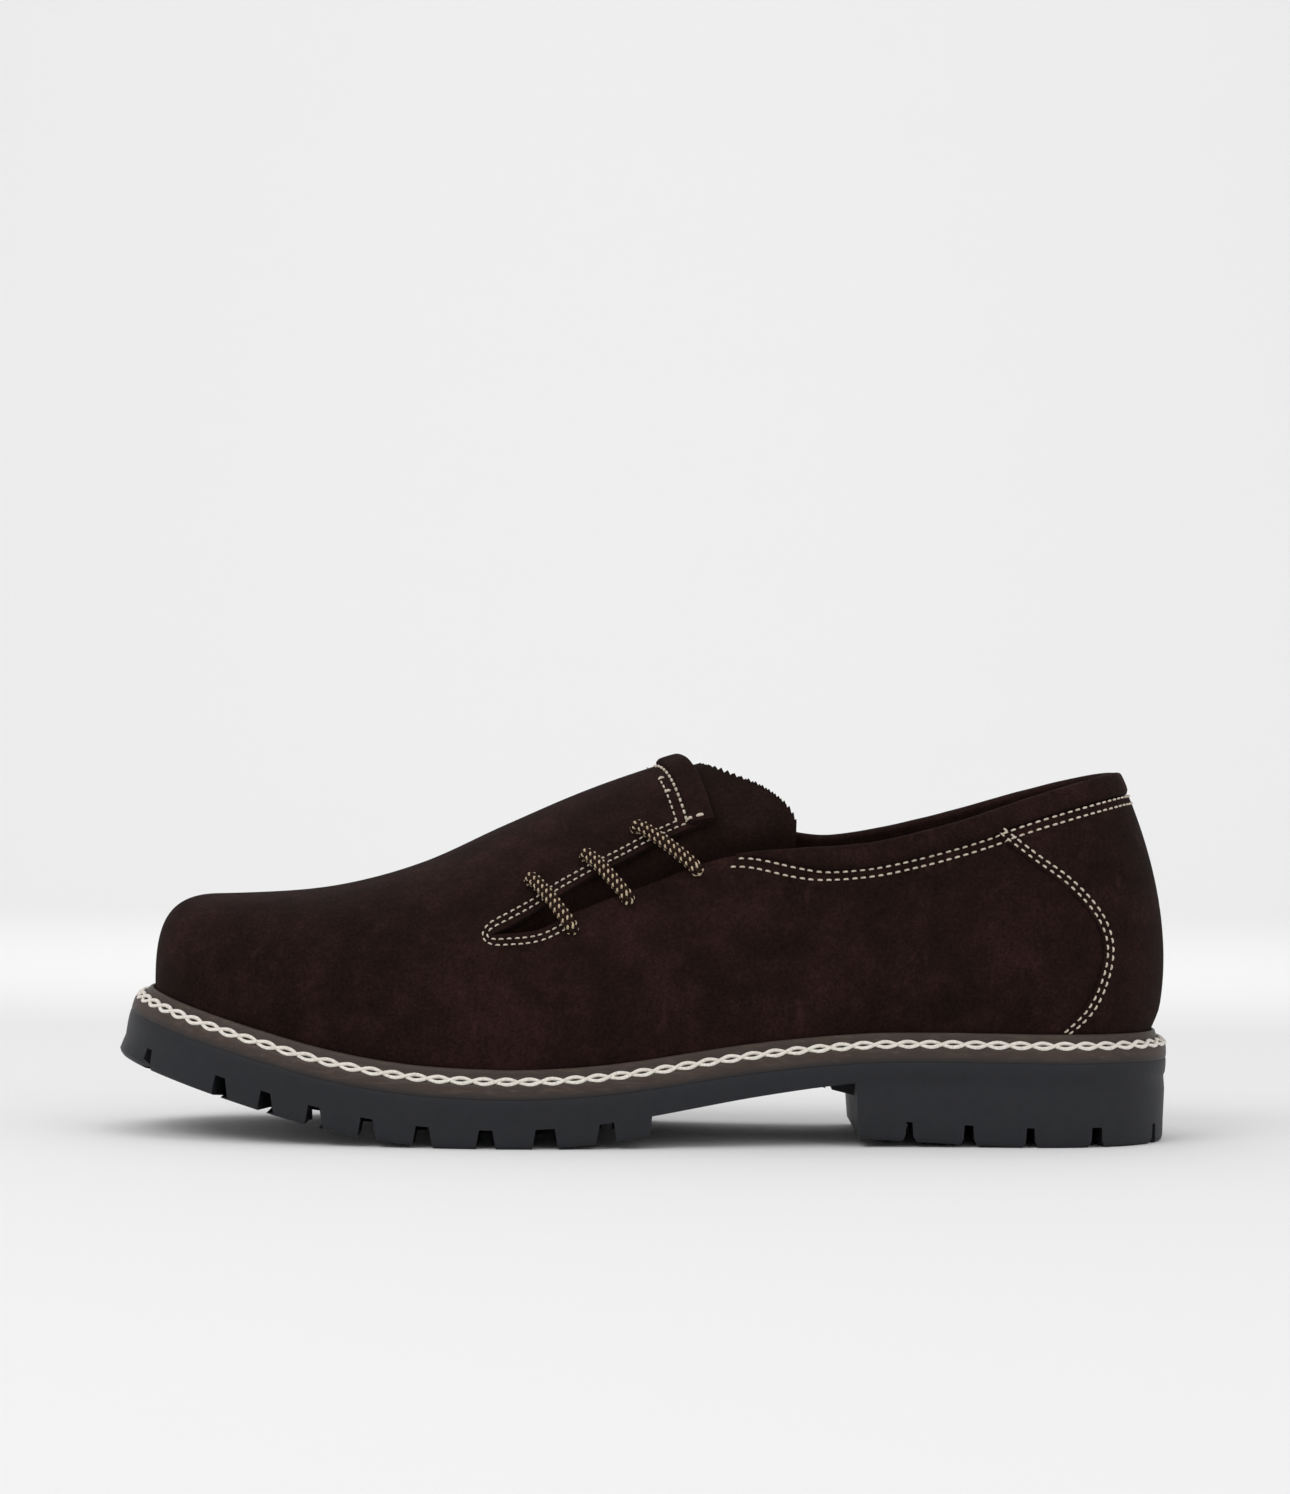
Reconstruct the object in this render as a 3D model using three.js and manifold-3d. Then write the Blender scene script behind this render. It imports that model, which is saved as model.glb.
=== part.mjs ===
// A side-laced alpine slip-on in dark brown suede on a lugged rubber sole, the left one of a pair.
// Millimetres, +Z up, toe towards -X, outer side of the foot towards -Y, standing on z = 0.
// Every piece hangs on two functions: the bent plan of the sole, and the surface of the last.

import * as THREE from "three";
import Module from "manifold-3d";

const wasm = await Module();
wasm.setup();

// Driving dimensions of the sole.
const soleLength = 297.4; // at the joint between rubber and midsole
const ballWidth = 108;
const toeSpring = 21; // lift of that joint at the toe, over the ball
const rubberAtBall = 13.9;
const rubberAtHeel = 23.7;
const plateThickness = 8.4; // rubber above the lugs, at the ball
const lugDepth = 5.6;
const lugReach = 17; // from the sole's edge to the inner end of an edge lug
const lugDraft = 1.0; // each side of a groove opens this much towards the floor
const wallDraft = 0.7; // the rubber side draws in this much down to the lugs
const edgeRound = 1.3; // rounded lower edge of the lugs
const breastLift = 2.4; // the heel's front edge hangs this far over the floor
const centreLug = 13; // size of the crosses down the middle of the tread
const crossArm = 5; // width of a cross's arm

// Driving dimensions of the midsole and its storm rib.
const midsoleSide = 3.4;
const stitchBedRise = 5.2; // inner end of the sloping bed that carries the welt stitches
const ribTop = 7.5;
const trayFloor = 3.6;
const weltReach = 6.3; // from the sole's edge to the suede, at the ball

// Driving dimensions of the upper and what is on it.
const wall = 2.0;
const insoleThickness = 3.4;
const insoleSlope = 0.8; // the insole's edge leans in with the wall
const instepHeight = 107.5; // ridge of the last at the throat, over the floor
const collarHeight = 103.4; // cut edge of the upper at the back
const tongueThickness = 1.8;
const tongueGap = 0.7; // under the vamp
const counterThickness = 1.0;
const bindingThickness = 1.3;
const bindingGap = 0.5; // over the upper
const bindingOuterLeg = 5.2; // the binding's drop outside the collar
const laceRadius = 1.9;
const laceHole = 0.6; // a lace hole is this much wider than the lace's radius
const clearance = 0.3; // between neighbouring pieces

// Smooth curve through one column of a table whose rows stand at rising values of `at`.
function along(rows, column) {
  const x = rows.map((row) => row.at);
  const y = rows.map((row) => row[column]);
  const last = x.length - 1;
  const slope = x.map((_, i) => {
    const before = Math.max(i - 1, 0);
    const after = Math.min(i + 1, last);
    return (y[after] - y[before]) / (x[after] - x[before]);
  });
  return (at) => {
    if (at <= x[0]) return y[0] + slope[0] * (at - x[0]);
    if (at >= x[last]) return y[last] + slope[last] * (at - x[last]);
    const i = x.findIndex((value) => value > at) - 1;
    const span = x[i + 1] - x[i];
    const u = (at - x[i]) / span;
    const rest = 1 - u;
    return (
      y[i] * (1 + 2 * u) * rest * rest +
      slope[i] * span * u * rest * rest +
      y[i + 1] * u * u * (3 - 2 * u) -
      slope[i + 1] * span * u * u * rest
    );
  };
}

const mix = (a, b, u) => a + (b - a) * u;
const clamp = (value, low, high) => Math.min(Math.max(value, low), high);

// Plan of the sole: `at` is the share of the length from the toe, `centre` and `half` are shares
// of the ball width. The ends are rounded off by a superellipse.
const plan = [
  { at: 0.0, centre: 0.06, half: 0.42 },
  { at: 0.1, centre: 0.045, half: 0.45 },
  { at: 0.2, centre: 0.027, half: 0.48 },
  { at: 0.28, centre: 0.01, half: 0.498 },
  { at: 0.36, centre: -0.01, half: 0.498 },
  { at: 0.45, centre: -0.03, half: 0.458 },
  { at: 0.55, centre: -0.037, half: 0.398 },
  { at: 0.63, centre: -0.03, half: 0.362 },
  { at: 0.72, centre: -0.012, half: 0.347 },
  { at: 0.82, centre: 0.003, half: 0.349 },
  { at: 0.92, centre: 0.007, half: 0.35 },
  { at: 1.0, centre: 0.007, half: 0.345 },
];
const toeRound = { reach: 0.23, power: 2.4 };
const heelRound = { reach: 0.15, power: 2.3 };
const planCentre = along(plan, "centre");
const planHalf = along(plan, "half");

// Side view of the sole: `toe` is the share of the toe spring and `heel` the share of the step
// from ball to heel that the rubber's top has at each station. `plate` and `reach` are shares of
// the plate's thickness and of the welt's reach.
const profile = [
  { at: 0.0, toe: 1.0, heel: 0, plate: 0.9, reach: 0.7 },
  { at: 0.06, toe: 0.735, heel: 0, plate: 0.88, reach: 0.8 },
  { at: 0.127, toe: 0.47, heel: 0, plate: 0.9, reach: 0.95 },
  { at: 0.2, toe: 0.215, heel: 0, plate: 0.94, reach: 1.0 },
  { at: 0.27, toe: 0.058, heel: 0, plate: 0.995, reach: 1.0 },
  { at: 0.34, toe: 0.0, heel: 0.0, plate: 1.02, reach: 1.0 },
  { at: 0.41, toe: 0, heel: 0.01, plate: 0.98, reach: 1.0 },
  { at: 0.484, toe: 0, heel: 0.2, plate: 0.91, reach: 1.0 },
  { at: 0.6, toe: 0, heel: 0.71, plate: 0.79, reach: 0.95 },
  { at: 0.7, toe: 0, heel: 0.99, plate: 0.66, reach: 0.88 },
  { at: 0.77, toe: 0, heel: 1.03, plate: 0.64, reach: 0.83 },
  { at: 0.88, toe: 0, heel: 1.0, plate: 0.64, reach: 0.78 },
  { at: 1.0, toe: 0, heel: 1.0, plate: 0.64, reach: 0.73 },
];
const toeShare = along(profile, "toe");
const heelShare = along(profile, "heel");
const plateShare = along(profile, "plate");
const reachShare = along(profile, "reach");

const stations = 38; // from toe to heel, on each side
const slopeStep = 0.004; // of s or t, for directions taken from two near points
const tiltStep = 0.01; // of the length, for the tilt of the sole
const shareOf = (s) => (1 - Math.cos(Math.PI * s)) / 2;
const stationX = (at) => (at - 0.5) * soleLength;
const shareAt = (x) => x / soleLength + 0.5;
const rise = (at) =>
  rubberAtBall + toeSpring * toeShare(at) + (rubberAtHeel - rubberAtBall) * heelShare(at);

function roundOff(at) {
  const end = (share, { reach, power }) =>
    share >= reach ? 1 : Math.pow(1 - Math.pow(1 - Math.max(share, 0) / reach, power), 1 / power);
  return end(at, toeRound) * end(1 - at, heelRound);
}

// A point of the sole's edge; side is -1 outside the foot and +1 inside it, s runs from toe to heel.
function edgePoint(s, side) {
  const at = shareOf(clamp(s, 0, 1));
  const y = ballWidth * (planCentre(at) + side * planHalf(at) * roundOff(at));
  return new THREE.Vector2(stationX(at), y);
}

// The edge's outward direction in plan.
function edgeNormal(s, side) {
  if (s <= 0) return new THREE.Vector2(-1, 0);
  if (s >= 1) return new THREE.Vector2(1, 0);
  const ahead = edgePoint(s + slopeStep, side).sub(edgePoint(s - slopeStep, side));
  return new THREE.Vector2(-side * ahead.y, side * ahead.x).normalize();
}

const insetPoint = (s, side, inset) => edgePoint(s, side).addScaledVector(edgeNormal(s, side), -inset);

// A point at `height` over the rubber's top, measured square to the bent sole.
function onSole(x, y, height) {
  const at = shareAt(x);
  const climb = rise(at + tiltStep) - rise(at - tiltStep);
  const tilt = Math.atan(climb / (2 * tiltStep * soleLength));
  return new THREE.Vector3(x - height * Math.sin(tilt), y, rise(at) + height * Math.cos(tilt));
}

// Closed loop of edge points at an inset, each placed by `place(x, y, at)`.
function ring(inset, place) {
  const loop = [];
  for (let i = 0; i < 2 * stations; i++) {
    const side = i <= stations ? -1 : 1;
    const s = (side < 0 ? i : 2 * stations - i) / stations;
    const at = shareOf(s);
    const p = insetPoint(s, side, typeof inset === "function" ? inset(at) : inset);
    loop.push(place(p.x, p.y, shareAt(p.x)));
  }
  return loop;
}

function geometryOf(points, faces) {
  const geometry = new THREE.BufferGeometry();
  const places = points.flatMap((p) => p.toArray());
  geometry.setAttribute("position", new THREE.Float32BufferAttribute(places, 3));
  geometry.setIndex(faces.flat());
  return geometry;
}

// Solid through a stack of rings, closed by a ladder of triangles at both ends.
function ringSolid(rings) {
  const count = 2 * stations;
  const faces = [];
  for (let k = 0; k + 1 < rings.length; k++) {
    for (let i = 0; i < count; i++) {
      const a = k * count + i;
      const b = k * count + ((i + 1) % count);
      faces.push([a, b, b + count], [a, b + count, a + count]);
    }
  }
  const cap = (base, up) => {
    for (let i = 0; i < stations; i++) {
      const quad = [i, i + 1, count - i - 1, (count - i) % count].map((v) => base + v);
      const turned = up ? quad : quad.reverse();
      const corners = turned.filter((v, k) => v !== turned[(k + 1) % 4]);
      for (let k = 1; k + 1 < corners.length; k++) {
        faces.push([corners[0], corners[k], corners[k + 1]]);
      }
    }
  };
  cap(0, false);
  cap((rings.length - 1) * count, true);
  return geometryOf(rings.flat(), faces);
}

// Vertices of a geometry merged by place, as a manifold-3d solid.
const mergeFineness = 1e4; // places closer than a millimetre over this are one
function solidOf(geometry) {
  const flat = geometry.index ? geometry.toNonIndexed() : geometry;
  const position = flat.getAttribute("position");
  const seen = new Map();
  const vertices = [];
  const triangles = [];
  for (let i = 0; i < position.count; i++) {
    const p = [position.getX(i), position.getY(i), position.getZ(i)];
    const key = p.map((v) => Math.round(v * mergeFineness)).join();
    if (!seen.has(key)) {
      seen.set(key, vertices.length / 3);
      vertices.push(...p);
    }
    triangles.push(seen.get(key));
  }
  const kept = [];
  for (let i = 0; i < triangles.length; i += 3) {
    const [a, b, c] = triangles.slice(i, i + 3);
    if (a !== b && b !== c && c !== a) kept.push(a, b, c);
  }
  return new wasm.Manifold(
    new wasm.Mesh({
      numProp: 3,
      vertProperties: new Float32Array(vertices),
      triVerts: new Uint32Array(kept),
    }),
  );
}

function geometryFrom(solid) {
  const mesh = solid.getMesh();
  const position = new Float32Array(mesh.numVert * 3);
  for (let i = 0; i < mesh.numVert; i++) {
    position.set(mesh.vertProperties.subarray(i * mesh.numProp, i * mesh.numProp + 3), i * 3);
  }
  const geometry = new THREE.BufferGeometry();
  geometry.setAttribute("position", new THREE.BufferAttribute(position, 3));
  geometry.setIndex(new THREE.BufferAttribute(mesh.triVerts, 1));
  return geometry;
}

const shoe = new THREE.Group();

function addPiece(name, geometry, material) {
  geometry.computeVertexNormals();
  const piece = new THREE.Mesh(geometry, material);
  piece.name = name;
  shoe.add(piece);
}

const finish = (color, roughness) => new THREE.MeshStandardMaterial({ color, roughness, metalness: 0 });
const suede = finish("#2c1c19", 0.95);
const tongueSuede = finish("#2a1b17", 0.95);
const blackRubber = finish("#2b2c30", 0.6);
const brownWelt = finish("#4a3c35", 0.55);
const lining = finish("#171210", 0.9);
const braid = finish("#5b4431", 0.85);

// Outsole: one moulding with a bent plate, a forefoot tread, a heel block and a ramp in the waist.
const treadEnd = 0.507; // rear edge of the forefoot tread, as a share of the length
const breastAt = 0.695; // front face of the heel
const heelFlatAt = 0.845; // from here back the heel stands flat
const breastSlope = 1.5; // run of the breast between its foot and its top
const bed = clearance / 2; // half the joint between rubber and midsole
const overlap = 1; // how far a tread block reaches up into what carries it
const below = 20; // cutters run this far past the tread
const top = rubberAtHeel + toeSpring + below;
const pastToe = -0.1; // cutters start ahead of the toe and end behind the heel, as shares
const pastHeel = 1.1;
const heelWall = 0.05; // solid rubber behind the heel's front face, as a share of the length
const forefootBreast = top / 4; // the forefoot tread's rear face is upright from here up
const plateEase = plateThickness / 4; // the plate's side is upright from here up
const crossGap = 2; // from a cross to the edge lugs
const crossFill = 1.2; // the most of the free width that a turned cross takes
const fanGain = 2.5; // how soon the grooves turn from straight across to square to the edge
const fanStart = 0.5;

const ground = (x, y, at) => onSole(x, y, -plateThickness * plateShare(at));
const tread = (lift) => (x, y, at) => {
  const p = onSole(x, y, -plateThickness * plateShare(at) - lugDepth);
  p.z = Math.max(p.z, 0) + lift;
  return p;
};
const heelBottom = (at) => breastLift * clamp((heelFlatAt - at) / (heelFlatAt - breastAt), 0, 1);
const heelPlace = (lift) => (x, y, at) => new THREE.Vector3(x, y, heelBottom(at) + lift);

// A block whose side view is the polygon of [x, z] points, spanning low to high in y.
function sideBlock(points, low, high) {
  const shape = new THREE.Shape(points.map(([x, z]) => new THREE.Vector2(x, z)));
  const geometry = new THREE.ExtrudeGeometry(shape, { depth: high - low, bevelEnabled: false });
  geometry.rotateX(Math.PI / 2);
  geometry.translate(0, high, 0);
  return solidOf(geometry);
}

// A block whose plan is the polygon of Vector2 points, spanning low to high in z.
function planBlock(points, low, high) {
  const shape = new THREE.Shape(points);
  const geometry = new THREE.ExtrudeGeometry(shape, { depth: high - low, bevelEnabled: false });
  geometry.translate(0, 0, low);
  return solidOf(geometry);
}

// Where an edge groove starts: `at` along the length, its width at the root, and the side.
const forefootGrooves = [
  { at: 0.03, width: 1.6 },
  { at: 0.1, width: 2.6 },
  { at: 0.144, width: 2.2 },
  { at: 0.19, width: 2.6 },
  { at: 0.24, width: 2.8 },
  { at: 0.292, width: 3.2 },
  { at: 0.351, width: 3.0 },
  { at: 0.406, width: 4.2 },
  { at: 0.463, width: 3.4 },
];
const heelGrooves = [
  { at: 0.746, width: 1.6 },
  { at: 0.802, width: 2.4 },
  { at: 0.86, width: 2.0 },
  { at: 0.924, width: 2.8 },
  { at: 0.985, width: 1.8 },
];
const stationOf = (at) => Math.acos(1 - 2 * at) / Math.PI;

// A groove cut square to the edge, narrower at its root than at the floor.
function edgeGroove({ at, width }, side, rootZ, floorZ, length) {
  const s = stationOf(at);
  const start = edgePoint(s, side);
  const out = edgeNormal(s, side);
  // Along the ball and the heel the grooves run straight across; round the toe they fan out.
  const across = new THREE.Vector2(0, side);
  const fan = clamp(Math.abs(out.x) * fanGain - fanStart, 0, 1);
  const direction = across.lerp(out, fan).normalize();
  const half = width / 2;
  const mouth = half + lugDraft * ((rootZ - floorZ) / lugDepth);
  const shape = new THREE.Shape([
    new THREE.Vector2(-mouth, floorZ),
    new THREE.Vector2(mouth, floorZ),
    new THREE.Vector2(half, rootZ),
    new THREE.Vector2(-half, rootZ),
  ]);
  const geometry = new THREE.ExtrudeGeometry(shape, { depth: length + 2 * overlap, bevelEnabled: false });
  geometry.rotateX(Math.PI / 2);
  geometry.rotateZ(Math.atan2(direction.y, direction.x) - Math.PI / 2);
  const from = start.clone().addScaledVector(direction, 2 * overlap);
  geometry.translate(from.x, from.y, 0);
  return solidOf(geometry);
}

// A cross in plan, turned by `turn`, for the middle of the tread.
function crossBlock(x, y, size, turn, low, high) {
  const centre = new THREE.Vector2(x, y);
  const corner = (u, v) => new THREE.Vector2(x + u / 2, y + v / 2).rotateAround(centre, turn);
  const bar = (width, length) => [
    corner(-width, -length),
    corner(width, -length),
    corner(width, length),
    corner(-width, length),
  ];
  return planBlock(bar(crossArm, size), low, high).add(planBlock(bar(size, crossArm), low, high));
}

// Where the crosses sit down the middle: between the grooves, so that these stay open across.
const forefootCrosses = [0.075, 0.122, 0.167, 0.215, 0.266, 0.3215, 0.3785, 0.4345, 0.488];
const heelCrosses = [0.774, 0.831, 0.892, 0.95];

function treadBlock({ block, from, to, grooves, crosses, root, foot }) {
  const inner = ring(lugReach, (x, y) => new THREE.Vector2(x, y));
  const range = sideBlock(
    [
      [stationX(from), -below],
      [stationX(to), -below],
      [stationX(to), top],
      [stationX(from), top],
    ],
    -ballWidth,
    ballWidth,
  );
  let cut = block.subtract(planBlock(inner, -below, top).intersect(range));
  for (const groove of grooves) {
    for (const side of [-1, 1]) {
      const rootZ = root(groove.at);
      const floorZ = foot(groove.at) - overlap;
      cut = cut.subtract(edgeGroove(groove, side, rootZ + overlap, floorZ, lugReach + overlap));
    }
  }
  for (const at of crosses) {
    const width = ballWidth * planHalf(at) * roundOff(at) - lugReach - crossGap;
    const size = Math.min(centreLug, crossFill * width);
    const middle = ballWidth * planCentre(at);
    const lug = crossBlock(stationX(at), middle, size, Math.PI / 4, -below, top);
    cut = cut.add(lug.intersect(block));
  }
  return cut;
}

const plate = solidOf(
  ringSolid([
    ring(wallDraft, ground),
    ring(0, (x, y) => onSole(x, y, -plateEase)),
    ring(clearance, (x, y) => onSole(x, y, -bed)),
  ]),
);
const forefootRange = sideBlock(
  [
    [stationX(pastToe), -below],
    [stationX(treadEnd) - breastSlope, 0],
    [stationX(treadEnd), forefootBreast],
    [stationX(treadEnd), top],
    [stationX(pastToe), top],
  ],
  -ballWidth,
  ballWidth,
);
const heelRange = sideBlock(
  [
    [stationX(breastAt) + breastSlope, -overlap],
    [stationX(pastHeel), -overlap],
    [stationX(pastHeel), top],
    [stationX(breastAt), top],
    [stationX(breastAt), rubberAtHeel - plateThickness * plateShare(breastAt)],
  ],
  -ballWidth,
  ballWidth,
);
const forefootFull = solidOf(
  ringSolid([
    ring(wallDraft + edgeRound, tread(0)),
    ring(wallDraft + edgeRound / 4, tread(edgeRound)),
    ring(wallDraft, ground),
    ring(wallDraft + overlap / 2, (x, y, at) => onSole(x, y, overlap - plateThickness * plateShare(at))),
  ]),
).intersect(forefootRange);
const forefootTread = treadBlock({
  block: forefootFull,
  from: pastToe,
  to: treadEnd,
  grooves: forefootGrooves,
  crosses: forefootCrosses,
  root: (at) => ground(stationX(at), 0, at).z,
  foot: (at) => tread(0)(stationX(at), 0, at).z,
});
const heelMiddle = (x, y, at) => new THREE.Vector3(x, y, (heelBottom(at) + lugDepth + rise(at)) / 2);
const heelBody = solidOf(
  ringSolid([
    ring(wallDraft, heelPlace(lugDepth)),
    ring(wallDraft / 2, heelMiddle),
    ring(wallDraft, (x, y, at) => onSole(x, y, -plateThickness * plateShare(at) + overlap)),
  ]),
).intersect(heelRange);
const heelFull = solidOf(
  ringSolid([
    ring(wallDraft + edgeRound, heelPlace(0)),
    ring(wallDraft + edgeRound / 4, heelPlace(edgeRound)),
    ring(wallDraft, heelPlace(lugDepth)),
    ring(wallDraft + overlap / 2, heelPlace(lugDepth + overlap)),
  ]),
).intersect(heelRange);
const heelTread = treadBlock({
  block: heelFull,
  from: breastAt + heelWall,
  to: pastHeel,
  grooves: heelGrooves,
  crosses: heelCrosses,
  root: (at) => heelBottom(at) + lugDepth,
  foot: heelBottom,
});

// The ramp that carries the waist's middle down onto the heel's front face, with its slot.
const rampLength = 0.045;
const rampWidth = 0.34;
const rampSlot = 1.8;
const rampDrop = 5.5;
const rampSlotTop = 0.4; // the slot stops this far under the plate
function waistRamp() {
  const front = breastAt - rampLength;
  const groundZ = (at) => ground(stationX(at), 0, at).z;
  const inside = (at) => groundZ(at) + overlap;
  const ramp = sideBlock(
    [
      [stationX(front), groundZ(front)],
      [stationX(breastAt) + 2 * breastSlope, groundZ(breastAt) - rampDrop],
      [stationX(breastAt) + 2 * breastSlope, inside(breastAt)],
      [stationX(front), inside(front)],
    ],
    ballWidth * (planCentre(breastAt) - rampWidth / 2),
    ballWidth * (planCentre(breastAt) + rampWidth / 2),
  );
  const slotX = stationX(breastAt - rampLength / 2);
  const slot = sideBlock(
    [
      [slotX - rampSlot / 2, -below],
      [slotX + rampSlot / 2, -below],
      [slotX + rampSlot / 2, groundZ(breastAt) - rampSlotTop],
      [slotX - rampSlot / 2, groundZ(breastAt) - rampSlotTop],
    ],
    -ballWidth,
    ballWidth,
  );
  return ramp.subtract(slot);
}
addPiece(
  "outsole",
  geometryFrom(plate.add(forefootTread).add(heelBody).add(heelTread).add(waistRamp())),
  blackRubber,
);

// Midsole: a brown tray with a rounded side, a sloping bed for the stitches and the storm rib.
const reach = (at) => weltReach * reachShare(at);
const ribGap = clearance / weltReach;
const ribRound = 0.4; // drop from the rib's top to its rounded edges
const midsoleRound = 0.6; // rise of the side's rounded upper edge
// Cross-section from the foot of the side over bed and rib into the tray: `share` of the reach.
const midsoleSection = [
  { share: 0.05, height: bed },
  { share: 0, height: midsoleSide / 4 },
  { share: 0, height: midsoleSide },
  { share: 0.12, height: midsoleSide + midsoleRound },
  { share: 0.6, height: stitchBedRise },
  { share: 0.64, height: ribTop - ribRound },
  { share: 0.76, height: ribTop },
  { share: 1 - ribGap, height: ribTop - ribRound },
  { share: 1 - ribGap, height: trayFloor },
];
const band = ({ share, height }) => ring((at) => share * reach(at), (x, y) => onSole(x, y, height));
addPiece("midsole", ringSolid(midsoleSection.map(band)), brownWelt);

// The last. `ridge` is its top line as a share of the instep height; `rise` and `shoulder` shape
// the side and the top of each section; `out` and `in` are how far the outer and inner sides swell
// past the sole seam, and `lie` where the ridge lies across, all shares of the ball width.
const last = [
  { at: 0.0, ridge: 0.628, rise: 0.7, shoulder: 0.83, out: 0.004, in: 0.004, lie: 0.055 },
  { at: 0.12, ridge: 0.633, rise: 0.76, shoulder: 0.74, out: 0.02, in: 0.02, lie: 0.05 },
  { at: 0.2, ridge: 0.656, rise: 0.72, shoulder: 0.68, out: 0.03, in: 0.025, lie: 0.048 },
  { at: 0.28, ridge: 0.718, rise: 0.66, shoulder: 0.62, out: 0.035, in: 0.025, lie: 0.046 },
  { at: 0.36, ridge: 0.82, rise: 0.58, shoulder: 0.56, out: 0.035, in: 0.02, lie: 0.044 },
  { at: 0.44, ridge: 0.917, rise: 0.53, shoulder: 0.5, out: 0.03, in: 0.015, lie: 0.042 },
  { at: 0.52, ridge: 0.995, rise: 0.5, shoulder: 0.46, out: 0.025, in: 0.01, lie: 0.036 },
  { at: 0.62, ridge: 1.075, rise: 0.47, shoulder: 0.46, out: 0.03, in: 0.015, lie: 0.026 },
  { at: 0.74, ridge: 1.2, rise: 0.42, shoulder: 0.5, out: 0.05, in: 0.045, lie: 0.016 },
  { at: 0.88, ridge: 1.34, rise: 0.41, shoulder: 0.52, out: 0.085, in: 0.08, lie: 0.008 },
  { at: 1.0, ridge: 1.4, rise: 0.435, shoulder: 0.3, out: 0.119, in: 0.119, lie: 0.006 },
];
const lastCurve = Object.fromEntries(
  ["ridge", "rise", "shoulder", "out", "in", "lie"].map((column) => [column, along(last, column)]),
);
const toeFan = 0.085; // the ridge starts this share of the length behind the toe
const heelFan = 0.15; // and ends this share before the heel
const fanFade = 0.3; // both die away over this share

function ridgeShare(at) {
  const toe = Math.pow(clamp(1 - at / fanFade, 0, 1), 2);
  const heel = Math.pow(clamp(1 - (1 - at) / fanFade, 0, 1), 2);
  return at + toeFan * toe - heelFan * heel;
}

// The last's outer surface. s runs from toe to heel, t from the rib (0) to the ridge (1), and
// from -1 to 0 down the straight skirt that stands in the midsole's tray.
function onLast(s, side, t, offset = 0) {
  if (offset) return onLast(s, side, t).addScaledVector(lastNormal(s, side, t), offset);
  const at = shareOf(clamp(s, 0, 1));
  const foot = insetPoint(s, side, reach(at));
  const seat = onSole(foot.x, foot.y, trayFloor + clearance);
  const start = onSole(foot.x, foot.y, ribTop + clearance);
  if (t < 0) return start.lerp(seat, -t);
  const out = edgeNormal(s, side);
  const ridgeAt = ridgeShare(at);
  const topPoint = new THREE.Vector3(
    stationX(ridgeAt),
    ballWidth * lastCurve.lie(ridgeAt),
    instepHeight * lastCurve.ridge(ridgeAt),
  );
  const swell = ballWidth * (side < 0 ? lastCurve.out(at) : lastCurve.in(at));
  const sideRise = (topPoint.z - start.z) * lastCurve.rise(at);
  const lower = start.clone().add(new THREE.Vector3(out.x * swell, out.y * swell, sideRise));
  const upper = topPoint.clone();
  upper.x = mix(topPoint.x, start.x, lastCurve.shoulder(at));
  upper.y = mix(topPoint.y, start.y, lastCurve.shoulder(at));
  return new THREE.CubicBezierCurve3(start, lower, upper, topPoint).getPoint(t);
}

function lastNormal(s, side, t) {
  const low = Math.max(t - slopeStep, 0);
  const high = Math.min(t + slopeStep, 1);
  const before = s > slopeStep ? onLast(s - slopeStep, side, t) : onLast(slopeStep, -side, t);
  const after = s < 1 - slopeStep ? onLast(s + slopeStep, side, t) : onLast(1 - slopeStep, -side, t);
  const ahead = after.sub(before);
  const up = onLast(s, side, high).sub(onLast(s, side, low));
  return ahead.cross(up).multiplyScalar(-side).normalize();
}

// Cut lines in side view, heights as shares of the collar height.
const outerCollar = [
  { at: 0.353, height: 0.566 },
  { at: 0.394, height: 0.579 },
  { at: 0.432, height: 0.629 },
  { at: 0.47, height: 0.67 },
  { at: 0.51, height: 0.713 },
  { at: 0.552, height: 0.76 },
  { at: 0.59, height: 0.784 },
  { at: 0.64, height: 0.791 },
  { at: 0.68, height: 0.795 },
  { at: 0.72, height: 0.81 },
  { at: 0.79, height: 0.862 },
  { at: 0.87, height: 0.94 },
  { at: 0.935, height: 0.992 },
  { at: 0.965, height: 1.0 },
  { at: 1.0, height: 1.0 },
];
const slitUpper = [
  { at: 0.353, height: 0.566 },
  { at: 0.371, height: 0.59 },
  { at: 0.397, height: 0.637 },
  { at: 0.434, height: 0.704 },
  { at: 0.474, height: 0.763 },
  { at: 0.505, height: 0.811 },
  { at: 0.533, height: 0.848 },
  { at: 0.557, height: 0.872 },
];
const innerCollar = [
  { at: 0.524, height: 1.036 },
  { at: 0.557, height: 0.98 },
  { at: 0.59, height: 0.9 },
  { at: 0.625, height: 0.838 },
  { at: 0.665, height: 0.814 },
  { at: 0.71, height: 0.826 },
  { at: 0.787, height: 0.876 },
  { at: 0.866, height: 0.941 },
  { at: 0.935, height: 0.992 },
  { at: 0.965, height: 1.0 },
  { at: 1.0, height: 1.0 },
];
const slitTip = 0.353; // front end of the slit, as a share of the length
const throatAt = 0.524; // where the throat crosses the ridge
const outerEdge = along(outerCollar, "height");
const flapEdge = along(slitUpper, "height");
const innerEdge = along(innerCollar, "height");

// t at which the section at s reaches the side-view line `height(share of length)`.
function cross(s, side, height) {
  let low = 0;
  let high = 1;
  for (let k = 0; k < 30; k++) {
    const t = (low + high) / 2;
    const p = onLast(s, side, t);
    if (p.z < collarHeight * height(shareAt(p.x))) low = t;
    else high = t;
  }
  return (low + high) / 2;
}

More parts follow.
